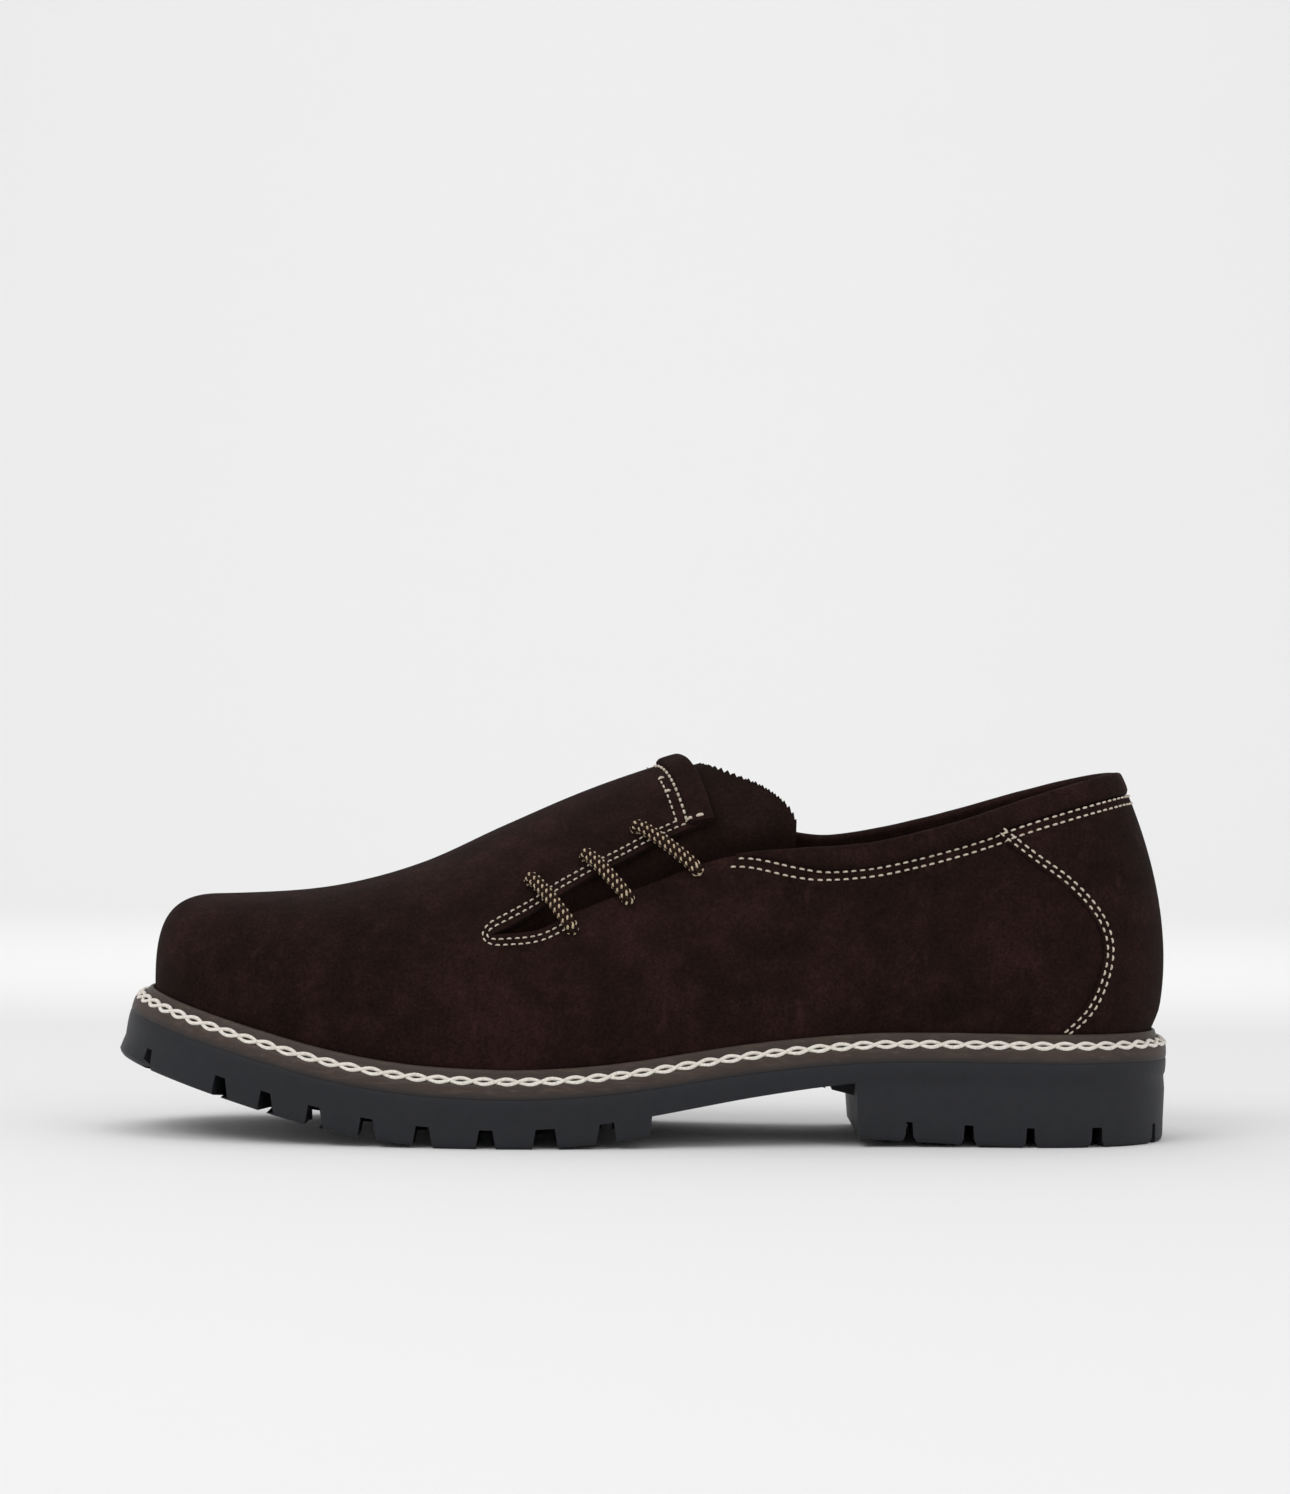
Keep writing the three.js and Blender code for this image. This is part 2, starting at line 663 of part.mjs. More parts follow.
// s and t of the surface point that a side view shows at (share of length, share of height).
function locate(at, side, height) {
  let s = stationOf(at);
  let t = 0.5;
  for (let k = 0; k < 12; k++) {
    t = cross(s, side, () => height);
    const miss = stationX(at) - onLast(s, side, t).x;
    s = clamp(s + miss / (soleLength * (Math.PI / 2) * Math.sin(Math.PI * s) + 1), 0, 1);
  }
  return { s, t };
}

const lerpPlace = (a, b, u) => ({ s: mix(a.s, b.s, u), t: mix(a.t, b.t, u) });

// Grid of surface places between two rows of places; `rows` steps from the first to the second.
function patch(side, lower, upper, rows) {
  const column = (a, b) => Array.from({ length: rows + 1 }, (_, k) => lerpPlace(a, b, k / rows));
  return { side, grid: lower.map((a, i) => column(a, upper[i])) };
}

// Closed solid from patches of the last: outer skin at `outer`, inner skin `thickness` below it.
const weldFineness = 50; // surface places closer than a millimetre over this are one
function shell(patches, outer, thickness) {
  const points = [];
  const normals = [];
  const faces = [];
  const seen = new Map();
  const vertex = ({ s, t }, side) => {
    const p = onLast(s, side, t);
    const key = p.toArray().map((v) => Math.round(v * weldFineness)).join();
    if (!seen.has(key)) {
      seen.set(key, points.length);
      points.push(p);
      normals.push(lastNormal(s, side, Math.max(t, 0)));
    }
    return seen.get(key);
  };
  for (const { side, grid } of patches) {
    for (let i = 0; i + 1 < grid.length; i++) {
      for (let k = 0; k + 1 < grid[i].length; k++) {
        const corners = [grid[i][k], grid[i + 1][k], grid[i + 1][k + 1], grid[i][k + 1]];
        const quad = corners.map((place) => vertex(place, side));
        if (side > 0) quad.reverse();
        for (const face of [[quad[0], quad[1], quad[2]], [quad[0], quad[2], quad[3]]]) {
          if (new Set(face).size === 3) faces.push(face);
        }
      }
    }
  }
  const count = points.length;
  const skin = (offset) => points.map((p, i) => p.clone().addScaledVector(normals[i], offset));
  const closed = [...faces, ...faces.map(([a, b, c]) => [a + count, c + count, b + count])];
  const edges = new Set(faces.flatMap(([a, b, c]) => [`${a},${b}`, `${b},${c}`, `${c},${a}`]));
  for (const edge of edges) {
    const [a, b] = edge.split(",").map(Number);
    if (!edges.has(`${b},${a}`)) closed.push([b, a, a + count], [b, a + count, b + count]);
  }
  return geometryOf([...skin(outer), ...skin(outer - thickness)], closed);
}

const stationList = Array.from({ length: stations + 1 }, (_, i) => i / stations);
const nearest = (s) => Math.round(s * stations);
const tip = locate(slitTip, -1, outerEdge(slitTip));
const throatS = (() => {
  let s = stationOf(throatAt);
  for (let k = 0; k < 20; k++) s += (throatAt - ridgeShare(shareOf(s))) * 0.5;
  return s;
})();
const tipIndex = nearest(tip.s);
const throatIndex = nearest(throatS);

// Station i drawn towards the slit's tip or the throat, so that a column meets each exactly.
function drawn(i, index, target) {
  const s = i / stations;
  if (i <= index) return (s * target) / (index / stations);
  return mix(target, 1, (i - index) / (stations - index));
}
const tipRow = stationList.map((_, i) => drawn(i, tipIndex, tip.s));
const ridgeRow = stationList.map((_, i) => drawn(i, throatIndex, throatS));

const seatRow = (row) => row.map((s) => ({ s, t: -1 }));
const ribRow = (row) => row.map((s) => ({ s, t: 0 }));
// The line that parts the lower from the upper strip ahead of the slit.
const toePart = 0.42;
const partRow = tipRow.map((s, i) =>
  i <= tipIndex
    ? { s, t: mix(toePart, tip.t, Math.pow(i / tipIndex, 2)) }
    : { s, t: cross(s, -1, outerEdge) },
);
const flapCount = throatIndex - tipIndex;
const flapEnd = slitUpper[slitUpper.length - 1].at;
const flapRow = Array.from({ length: flapCount + 1 }, (_, j) => {
  const at = mix(slitTip, flapEnd, j / flapCount);
  return j === 0 ? tip : locate(at, -1, flapEdge(at));
});
const ridgePlaces = ridgeRow.slice(0, throatIndex + 1).map((s) => ({ s, t: 1 }));
// Inside the foot the columns close up behind the throat, where the edge drops steeply, and the
// parting line runs from the toe to the edge at `joinAt`.
const innerCount = 23;
const innerGather = 1.5;
const joinAt = 0.645;
const innerRow = [
  ...ridgeRow.slice(0, throatIndex + 1),
  ...Array.from({ length: innerCount }, (_, j) =>
    mix(throatS, 1, Math.pow((j + 1) / innerCount, innerGather)),
  ),
];
const innerTop = innerRow.map((s, i) => ({ s, t: i <= throatIndex ? 1 : cross(s, 1, innerEdge) }));
const joinIndex = innerRow.findIndex((s) => s > stationOf(joinAt));
const innerPart = innerTop.map(({ s, t }, i) =>
  i <= joinIndex ? { s, t: mix(toePart, innerTop[joinIndex].t, Math.pow(i / joinIndex, 2)) } : { s, t },
);

const lowerRows = 6;
const flapRows = 6;
const upperShell = shell(
  [
    patch(-1, seatRow(tipRow), ribRow(tipRow), 1),
    patch(-1, ribRow(tipRow), partRow, lowerRows),
    patch(-1, [...partRow.slice(0, tipIndex), ...flapRow], ridgePlaces, flapRows),
    patch(1, seatRow(innerRow), ribRow(innerRow), 1),
    patch(1, ribRow(innerRow), innerPart, lowerRows),
    patch(1, innerPart.slice(0, joinIndex + 1), innerTop.slice(0, joinIndex + 1), flapRows),
  ],
  0,
  wall,
);

// Lace bars: a round cord out of one hole, over the slit and into the other. The holes are given
// in side view: `at` and `height` above the slit, then below it.
const laceBars = [
  { upper: { at: 0.389, height: 0.709 }, lower: { at: 0.428, height: 0.584 } },
  { upper: { at: 0.4405, height: 0.774 }, lower: { at: 0.4805, height: 0.658 } },
  { upper: { at: 0.488, height: 0.85 }, lower: { at: 0.545, height: 0.739 } },
];
const laceSides = 5; // per half turn
const laceSteps = 14;
const holeSides = 12;
const laceDip = 1.2; // how deep a bar's end sits in the wall
const laceLift = laceRadius + clearance + 0.15; // of the cord's middle over the suede
const barFoot = { along: 0.1, up: 0.4 }; // leaving its hole: mm along the bar, share of the lift
const barShoulder = { along: 0.9, up: 1.05 }; // turning over, as shares of the lift
const barBow = 0.75; // share of the last's bow that the bar's middle follows

function laceEnd({ at, height }) {
  const place = locate(at, -1, height);
  return { point: onLast(place.s, -1, place.t), normal: lastNormal(place.s, -1, place.t) };
}

function laceBar({ upper, lower }) {
  const ends = [laceEnd(upper), laceEnd(lower)];
  const way = ends[1].point.clone().sub(ends[0].point).normalize();
  const raised = ({ point, normal }, sideways, up) =>
    point.clone().addScaledVector(normal, up).addScaledVector(way, sideways);
  const middleNormal = ends[0].normal.clone().add(ends[1].normal).normalize();
  const middle = ends[0].point.clone().lerp(ends[1].point, 0.5);
  const leanCosine = ends[0].normal.dot(middleNormal);
  const bow = middle.distanceTo(ends[0].point) * Math.sqrt(1 - leanCosine * leanCosine);
  const curve = new THREE.CatmullRomCurve3(
    [
      raised(ends[0], 0, -laceDip),
      raised(ends[0], barFoot.along, laceLift * barFoot.up),
      raised(ends[0], laceLift * barShoulder.along, laceLift * barShoulder.up),
      middle.addScaledVector(middleNormal, laceLift + bow * barBow),
      raised(ends[1], -laceLift * barShoulder.along, laceLift * barShoulder.up),
      raised(ends[1], -barFoot.along, laceLift * barFoot.up),
      raised(ends[1], 0, -laceDip),
    ],
    false,
    "centripetal",
  );
  const section = new THREE.Shape();
  section.absarc(0, 0, laceRadius, 0, 2 * Math.PI);
  return new THREE.ExtrudeGeometry(section, {
    steps: laceSteps,
    curveSegments: laceSides,
    extrudePath: curve,
  });
}

function laceHoleCutter(end) {
  const { point, normal } = laceEnd(end);
  const radius = laceRadius + laceHole;
  const geometry = new THREE.CylinderGeometry(radius, radius, 6 * wall, holeSides);
  const turn = new THREE.Quaternion().setFromUnitVectors(new THREE.Vector3(0, 1, 0), normal);
  geometry.applyQuaternion(turn);
  geometry.translate(point.x, point.y, point.z);
  return solidOf(geometry);
}

let upper = solidOf(upperShell);
for (const bar of laceBars) {
  upper = upper.subtract(laceHoleCutter(bar.upper)).subtract(laceHoleCutter(bar.lower));
}
addPiece("upper", geometryFrom(upper), suede);
laceBars.forEach((bar, i) => addPiece(`lace_bar_${i + 1}`, laceBar(bar), braid));

// Tongue: a saddle under the vamp that shows in the slit and behind the throat.
const tongueFrom = 0.33;
const tongueTo = 0.642;
const tongueLow = [
  { at: 0.33, outer: 0.47, inner: 0.47 },
  { at: 0.4, outer: 0.52, inner: 0.53 },
  { at: 0.5, outer: 0.62, inner: 0.64 },
  { at: 0.58, outer: 0.7, inner: 0.72 },
  { at: 0.642, outer: 0.74, inner: 0.76 },
];
const tongueEnd = [
  { at: 0.53, height: 1.068 },
  { at: 0.548, height: 1.056 },
  { at: 0.566, height: 1.039 },
  { at: 0.5855, height: 1.014 },
  { at: 0.605, height: 0.991 },
  { at: 0.623, height: 0.957 },
  { at: 0.635, height: 0.92 },
  { at: 0.642, height: 0.87 },
];
const tongueRows = 7;
const tongueColumns = 12;
const outerLow = along(tongueLow, "outer");
const innerLow = along(tongueLow, "inner");
const tongueTop = along(tongueEnd, "height");
const tongueStart = stationOf(tongueFrom);
const tongueSpan = stationOf(tongueTo) - tongueStart;
const tongueRidgeCount = Math.round((tongueColumns * (throatS - tongueStart)) / tongueSpan);
const searchSlope = 400; // mm of ridge height per unit of s, for the search below
const tongueRidgeEnd = (() => {
  let s = throatS;
  for (let k = 0; k < 40; k++) {
    const gap = collarHeight * tongueTop(ridgeShare(shareOf(s))) - onLast(s, -1, 1).z;
    s = clamp(s + gap / searchSlope, 0, 1);
  }
  return s;
})();
const tongueStations = Array.from({ length: tongueColumns + 1 }, (_, i) =>
  i <= tongueRidgeCount
    ? mix(tongueStart, tongueRidgeEnd, i / tongueRidgeCount)
    : mix(tongueRidgeEnd, stationOf(tongueTo), (i - tongueRidgeCount) / (tongueColumns - tongueRidgeCount)),
);
const tonguePatch = (side, low) =>
  patch(
    side,
    tongueStations.map((s) => ({ s, t: cross(s, side, low) })),
    tongueStations.map((s, i) => ({ s, t: i <= tongueRidgeCount ? 1 : cross(s, side, tongueTop) })),
    tongueRows,
  );
addPiece(
  "tongue",
  shell([tonguePatch(-1, outerLow), tonguePatch(1, innerLow)], -wall - tongueGap, tongueThickness),
  tongueSuede,
);

// Counter: the heel panel, lapped over the quarters and seamed along a bellied line.
const counterSeam = [
  { at: 0.305, share: 0.887 },
  { at: 0.383, share: 0.912 },
  { at: 0.465, share: 0.925 },
  { at: 0.533, share: 0.929 },
  { at: 0.587, share: 0.925 },
  { at: 0.64, share: 0.914 },
  { at: 0.71, share: 0.89 },
  { at: 0.77, share: 0.861 },
  { at: 0.843, share: 0.828 },
];
const counterFoot = 0.012; // t of its lower edge, just clear of the storm rib
const counterRows = 7;
const counterFrom = 0.8; // the sheet it is cut from starts at this share of the length
const seamSteps = 10;
const seamFrom = 0.2; // the seam is drawn from this share of the collar height, under the rib
const seamAt = along(counterSeam, "share");
const counterGap = (bindingOuterLeg + 2 * clearance) / collarHeight;
function counterPatch(side) {
  const row = (side < 0 ? tipRow : innerRow).filter((s) => s > stationOf(counterFrom));
  const edge = side < 0 ? outerEdge : innerEdge;
  const topLine = (at) => edge(at) - counterGap;
  return patch(
    side,
    row.map((s) => ({ s, t: counterFoot })),
    row.map((s) => ({ s, t: cross(s, side, topLine) })),
    counterRows,
  );
}
const seamLine = Array.from({ length: seamSteps + 1 }, (_, k) => {
  const height = mix(seamFrom, 1, k / seamSteps);
  return [stationX(seamAt(height)), collarHeight * height];
});
const heelSide = [...seamLine, [soleLength, collarHeight * 2], [soleLength, 0]];
const heelPart = sideBlock(heelSide, -ballWidth, ballWidth);
const counterPatches = [counterPatch(-1), counterPatch(1)];
const counterSheet = shell(counterPatches, clearance + counterThickness, counterThickness);
addPiece("counter", geometryFrom(solidOf(counterSheet).intersect(heelPart)), suede);

// Collar binding: a strip outside the upper's top edge, rolled in over it, from the front of the
// outer quarter round the heel, up the inner side and over the throat to the slit's rear corner.
const bindingFront = 0.583;
const bindingRoll = 5; // steps round the fold
const bindingBevel = 0.3;
const bindingStep = 0.008; // least step of s from the front end to the next column
function bindingPath() {
  const path = [];
  const push = (place, side) => path.push({ place, side });
  const front = locate(bindingFront, -1, outerEdge(bindingFront)).s;
  const onCollar = (s) => push({ s, t: cross(s, -1, outerEdge) }, -1);
  onCollar(front);
  tipRow.filter((s) => s > front + bindingStep && s < 1).forEach(onCollar);
  innerTop.slice(throatIndex + 1).reverse().forEach((place) => push(place, 1));
  push({ s: throatS, t: 1 }, 1);
  const corner = flapRow[flapCount];
  const ridge = { s: throatS, t: 1 };
  for (let k = 1; k <= flapRows; k++) push(lerpPlace(ridge, corner, k / flapRows), -1);
  return path;
}

function bindingSolid() {
  const path = bindingPath();
  const points = path.map(({ place, side }) => onLast(place.s, side, place.t));
  // Cross-section: u out of the wall, v along the wall away from its edge (negative is above it).
  const outer = bindingGap + bindingThickness;
  const middle = (outer - wall) / 2;
  const half = (outer + wall) / 2;
  const section = [
    [bindingGap, bindingOuterLeg],
    [outer - bindingBevel, bindingOuterLeg],
  ];
  for (let k = 0; k <= bindingRoll; k++) {
    const a = (Math.PI * k) / bindingRoll;
    section.push([middle + half * Math.cos(a), -clearance - bindingThickness * Math.sin(a)]);
  }
  section.push([bindingGap, -clearance]);
  const count = section.length;
  const rings = path.map(({ place, side }, i) => {
    const normal = lastNormal(place.s, side, place.t);
    const next = points[Math.min(i + 1, points.length - 1)];
    const down = next.clone().sub(points[Math.max(i - 1, 0)]).cross(normal).normalize();
    const put = ([u, v]) => points[i].clone().addScaledVector(normal, u).addScaledVector(down, v);
    return section.map(put);
  });
  const faces = [];
  for (let i = 0; i + 1 < rings.length; i++) {
    for (let k = 0; k < count; k++) {
      const a = i * count + k;
      const b = i * count + ((k + 1) % count);
      faces.push([a, a + count, b + count], [a, b + count, b]);
    }
  }
  const outline = section.map(([u, v]) => new THREE.Vector2(u, v));
  const lastRing = (rings.length - 1) * count;
  const turn = Math.sign(THREE.ShapeUtils.area(outline));
  for (const triangle of THREE.ShapeUtils.triangulateShape(outline, [])) {
    const same = Math.sign(THREE.ShapeUtils.area(triangle.map((v) => outline[v]))) === turn;
    const [a, b, c] = same ? triangle : [...triangle].reverse();
    faces.push([a, b, c], [lastRing + a, lastRing + c, lastRing + b]);
  }
  return geometryOf(rings.flat(), faces);
}
addPiece("collar_binding", bindingSolid(), suede);

// Insole: a soft sheet on the tray's floor, inside the foot of the upper.
const insoleShoulder = 0.8; // share of its thickness at which the edge starts to lean in
const insoleInset = (lean) => (at) => reach(at) + wall + clearance + lean;
const overTray = (lift) => (x, y) => onSole(x, y, trayFloor + clearance + lift);
addPiece(
  "insole",
  ringSolid([
    ring(insoleInset(0), overTray(0)),
    ring(insoleInset(insoleSlope / 4), overTray(insoleThickness * insoleShoulder)),
    ring(insoleInset(insoleSlope), overTray(insoleThickness)),
  ]),
  lining,
);

// The frame's origin is the middle of the shoe's footprint, on the floor.
const box = new THREE.Box3().setFromObject(shoe);
shoe.position.set(-(box.min.x + box.max.x) / 2, -(box.min.y + box.max.y) / 2, -box.min.z);

export default shoe;
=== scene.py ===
import math

import bmesh
import bpy
import numpy as np
from mathutils import Matrix, Vector


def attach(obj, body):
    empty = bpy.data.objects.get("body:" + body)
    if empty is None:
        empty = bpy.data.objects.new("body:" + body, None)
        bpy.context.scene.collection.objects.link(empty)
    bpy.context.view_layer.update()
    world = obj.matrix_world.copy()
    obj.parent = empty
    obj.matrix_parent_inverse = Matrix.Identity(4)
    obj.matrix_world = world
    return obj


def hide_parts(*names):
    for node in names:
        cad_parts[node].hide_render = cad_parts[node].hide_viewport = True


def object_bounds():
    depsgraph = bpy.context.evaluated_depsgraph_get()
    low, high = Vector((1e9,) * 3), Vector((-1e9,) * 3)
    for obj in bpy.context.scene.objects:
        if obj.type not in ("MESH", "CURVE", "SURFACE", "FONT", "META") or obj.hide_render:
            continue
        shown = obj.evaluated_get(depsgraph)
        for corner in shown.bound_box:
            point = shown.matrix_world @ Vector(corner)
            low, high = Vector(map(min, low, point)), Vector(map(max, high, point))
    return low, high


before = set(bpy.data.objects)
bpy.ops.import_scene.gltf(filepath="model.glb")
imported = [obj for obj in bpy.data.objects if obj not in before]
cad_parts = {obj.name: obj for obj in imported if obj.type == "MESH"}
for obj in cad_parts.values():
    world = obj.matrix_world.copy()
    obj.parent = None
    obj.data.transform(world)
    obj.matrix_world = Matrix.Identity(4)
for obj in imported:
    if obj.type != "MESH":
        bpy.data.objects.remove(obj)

cad_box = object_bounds()


# Outsole: one moulding of black rubber, with angled lugs round a row of crosses under the forefoot,
# a plain waist, a heel block and a slotted ramp ahead of it. It is glued under the midsole.
# Lengths are in millimetres; places along the sole and parts of a size are shares from 0 to 1.
SOLE_LENGTH = 297.4
BALL_WIDTH = 108.0
TOE_SPRING = 21.0
RUBBER_AT_BALL = 13.9
RUBBER_AT_HEEL = 23.7
PLATE_THICKNESS = 8.4
LUG_DEPTH = 5.6
LUG_REACH = 17.0
WALL_DRAFT = 0.7
EDGE_ROUND = 1.3
BREAST_LIFT = 2.4
CENTRE_LUG = 13.0
CROSS_ARM = 5.0
CAD_STATIONS = 38

PLAN = {
    "at": [0.0, 0.1, 0.2, 0.28, 0.36, 0.45, 0.55, 0.63, 0.72, 0.82, 0.92, 1.0],
    "centre": [0.06, 0.045, 0.027, 0.01, -0.01, -0.03, -0.037, -0.03, -0.012, 0.003, 0.007, 0.007],
    "half": [0.42, 0.45, 0.48, 0.498, 0.498, 0.458, 0.398, 0.362, 0.347, 0.349, 0.35, 0.345],
}
TOE_ROUND = (0.23, 2.4)
HEEL_ROUND = (0.15, 2.3)
PROFILE = {
    "at": [0.0, 0.06, 0.127, 0.2, 0.27, 0.34, 0.41, 0.484, 0.6, 0.7, 0.77, 0.88, 1.0],
    "toe": [1.0, 0.735, 0.47, 0.215, 0.058, 0, 0, 0, 0, 0, 0, 0, 0],
    "heel": [0, 0, 0, 0, 0, 0, 0.01, 0.2, 0.71, 0.99, 1.03, 1.0, 1.0],
    "plate": [0.9, 0.88, 0.9, 0.94, 0.995, 1.02, 0.98, 0.91, 0.79, 0.66, 0.64, 0.64, 0.64],
    "reach": [0.7, 0.8, 0.95, 1.0, 1.0, 1.0, 1.0, 1.0, 0.95, 0.88, 0.83, 0.78, 0.73],
}


def along(table, column):
    """Smooth curve through one column of a table, straight beyond its ends."""
    x = np.array(table["at"], float)
    y = np.array(table[column], float)
    before = np.maximum(np.arange(len(x)) - 1, 0)
    after = np.minimum(np.arange(len(x)) + 1, len(x) - 1)
    slope = (y[after] - y[before]) / (x[after] - x[before])

    def curve(at):
        at = np.asarray(at, float)
        i = np.clip(np.searchsorted(x, at, side="right") - 1, 0, len(x) - 2)
        span = x[i + 1] - x[i]
        u = np.clip((at - x[i]) / span, 0, 1)
        v = 1 - u
        inside = (
            y[i] * (1 + 2 * u) * v * v
            + slope[i] * span * u * v * v
            + y[i + 1] * u * u * (3 - 2 * u)
            - slope[i + 1] * span * u * u * v
        )
        over = slope[0] * np.minimum(at - x[0], 0) + slope[-1] * np.maximum(at - x[-1], 0)
        return inside + over

    return curve


plan_centre, plan_half = along(PLAN, "centre"), along(PLAN, "half")
toe_share, heel_share = along(PROFILE, "toe"), along(PROFILE, "heel")
plate_share = along(PROFILE, "plate")


def mix(a, b, u):
    return a + (b - a) * u


def smooth(u):
    u = np.clip(u, 0, 1)
    return u * u * (3 - 2 * u)


def unit(v):
    return v / np.maximum(np.linalg.norm(v, axis=-1, keepdims=True), 1e-9)


def share_of(s):
    return (1 - np.cos(np.pi * s)) / 2


def station_of(at):
    return np.arccos(1 - 2 * at) / np.pi


def station_x(at):
    return (at - 0.5) * SOLE_LENGTH


def share_at(x):
    return x / SOLE_LENGTH + 0.5


def rise(at):
    step = (RUBBER_AT_HEEL - RUBBER_AT_BALL) * heel_share(at)
    return RUBBER_AT_BALL + TOE_SPRING * toe_share(at) + step


def round_off(at):
    def end(share, reach, power):
        gone = np.clip(1 - np.maximum(share, 0) / reach, 0, 1)
        return np.power(1 - np.power(gone, power), 1 / power)

    return end(at, *TOE_ROUND) * end(1 - at, *HEEL_ROUND)


def edge_point(s, side):
    at = share_of(np.clip(s, 0, 1))
    y = BALL_WIDTH * (plan_centre(at) + side * plan_half(at) * round_off(at))
    return np.stack([station_x(at), y], -1)


def edge_normal(s, side):
    step = 0.004
    s = np.asarray(s, float)
    ahead = edge_point(s + step, side) - edge_point(s - step, side)
    out = unit(np.stack([-side * ahead[..., 1], side * ahead[..., 0]], -1))
    out[s <= 0] = (-1, 0)
    out[s >= 1] = (1, 0)
    return out


def inset_point(s, side, inset):
    inset = np.asarray(inset, float)
    return edge_point(s, side) - edge_normal(s, side) * inset[..., None]


def on_sole(x, y, height):
    step = 0.01
    at = share_at(x)
    tilt = np.arctan((rise(at + step) - rise(at - step)) / (2 * step * SOLE_LENGTH))
    return np.stack([x - height * np.sin(tilt), y, rise(at) + height * np.cos(tilt)], -1)


# The frame's origin is the middle of the footprint, so the plan is shifted as the CAD's is.
cad_edge = np.arange(CAD_STATIONS + 1) / CAD_STATIONS
middle_y = (edge_point(cad_edge, -1)[:, 1].min() + edge_point(cad_edge, 1)[:, 1].max()) / 2
SHIFT = np.array([cad_box[1][0] * 1000 - SOLE_LENGTH / 2, -middle_y, 0.0])


def metres(points):
    return (np.asarray(points, float) + SHIFT) / 1000


def add_object(name, data):
    piece = bpy.data.objects.new(name, data)
    bpy.context.scene.collection.objects.link(piece)
    return piece


def add_mesh(name, points, faces):
    """A smooth piece from points in millimetres and lists of point numbers."""
    mesh = bpy.data.meshes.new(name)
    mesh.from_pydata(metres(points).tolist(), [], faces)
    mesh.polygons.foreach_set("use_smooth", [True] * len(mesh.polygons))
    return add_object(name, mesh)


def dress(piece, materials, nodes=(), kinds=()):
    """Materials and body of a piece, and the CAD parts that it hides; kinds says which of the materials
    each face takes.
    """
    for material in materials:
        piece.data.materials.append(material)
    if kinds:
        piece.data.polygons.foreach_set("material_index", kinds)
    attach(piece, "root")
    if nodes:
        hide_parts(*nodes)


def grid_faces(rows, columns, close=False):
    """Quads of a grid of rows by columns, with columns joined round if close."""
    i, k = np.meshgrid(np.arange(rows - 1), np.arange(columns if close else columns - 1), indexing="ij")
    after = (k + 1) % columns
    a, b = i * columns + k, i * columns + after
    return np.stack([a, b, b + columns, a + columns], -1).reshape(-1, 4)


class Nodes:
    """A material's nodes. The methods return the output that they end in."""

    def __init__(self, name):
        self.material = bpy.data.materials.new(name)
        self.material.use_nodes = True
        self.tree = self.material.node_tree

    def fill(self, node, key, value):
        """Joins an input of a node to an output, or sets it to a value."""
        if isinstance(value, bpy.types.NodeSocket):
            self.tree.links.new(value, node.inputs[key])
        elif value is not None:
            node.inputs[key].default_value = value

    def add(self, kind, **settings):
        node = self.tree.nodes.new(kind)
        for key, value in settings.items():
            if hasattr(node, key):
                setattr(node, key, value)
            else:
                self.fill(node, key, value)
        return node

    def product(self, kind, a, b):
        node = self.add(kind, operation="MULTIPLY")
        self.fill(node, 0, a)
        self.fill(node, 1, b)
        return node.outputs[0]

    def noise(self, size_mm, detail=2.0, roughness=0.5, stretch=None):
        spot = self.add("ShaderNodeTexCoord").outputs["Object"]
        if stretch:
            spot = self.product("ShaderNodeVectorMath", spot, stretch)
        size = {"Scale": 1000 / size_mm, "Detail": detail, "Roughness": roughness}
        return self.add("ShaderNodeTexNoise", Vector=spot, **size).outputs["Fac"]

    def ramp(self, factor, *stops):
        """A ramp from (position, colour) stops, where a number stands for a grey."""
        node = self.add("ShaderNodeValToRGB", Fac=factor)
        while len(node.color_ramp.elements) < len(stops):
            node.color_ramp.elements.new(0.5)
        for element, (position, colour) in zip(node.color_ramp.elements, stops):
            element.position = position
            element.color = colour if isinstance(colour, tuple) else (colour, colour, colour, 1)
        return node.outputs["Color"]

    def blend(self, factor, a, b, mode="MIX"):
        node = self.add("ShaderNodeMix", data_type="RGBA", blend_type=mode, Factor=factor, A=a, B=b)
        return node.outputs["Result"]

    def bump(self, height, strength, depth_mm, under=None):
        size = {"Strength": strength, "Distance": depth_mm / 1000}
        return self.add("ShaderNodeBump", Height=height, Normal=under, **size).outputs["Normal"]

    def finish(self, colour, rough, normal=None, **values):
        inputs = {"Base Color": colour, "Roughness": rough, "Normal": normal, **values}
        for key, value in inputs.items():
            self.fill(self.tree.nodes["Principled BSDF"], key.replace("_", " "), value)
        return self.material


def paint(red, green, blue):
    """Linear colour of an 8-bit sRGB one."""
    def linear(v):
        v = v / 255
        return v / 12.92 if v <= 0.04045 else ((v + 0.055) / 1.055) ** 2.4

    return (linear(red), linear(green), linear(blue), 1.0)


def rubber_material():
    n = Nodes("black_rubber")
    haze, grain, dust = n.noise(35, 3, 0.6), n.noise(0.6, 2, 0.6), n.noise(4, 5, 0.7)
    tint = n.ramp(haze, (0.3, paint(34, 35, 39)), (0.7, paint(38, 39, 44)))
    tint = n.blend(0.3, tint, n.ramp(dust, (0.35, paint(32, 33, 36)), (0.75, paint(46, 46, 49))))
    rough = n.ramp(haze, (0.3, 0.5), (0.7, 0.64))
    normal = n.bump(grain, 0.25, 0.08, n.bump(dust, 0.15, 0.15))
    return n.finish(tint, rough, normal, Specular_IOR_Level=0.22)


SOLE_STATIONS = 170


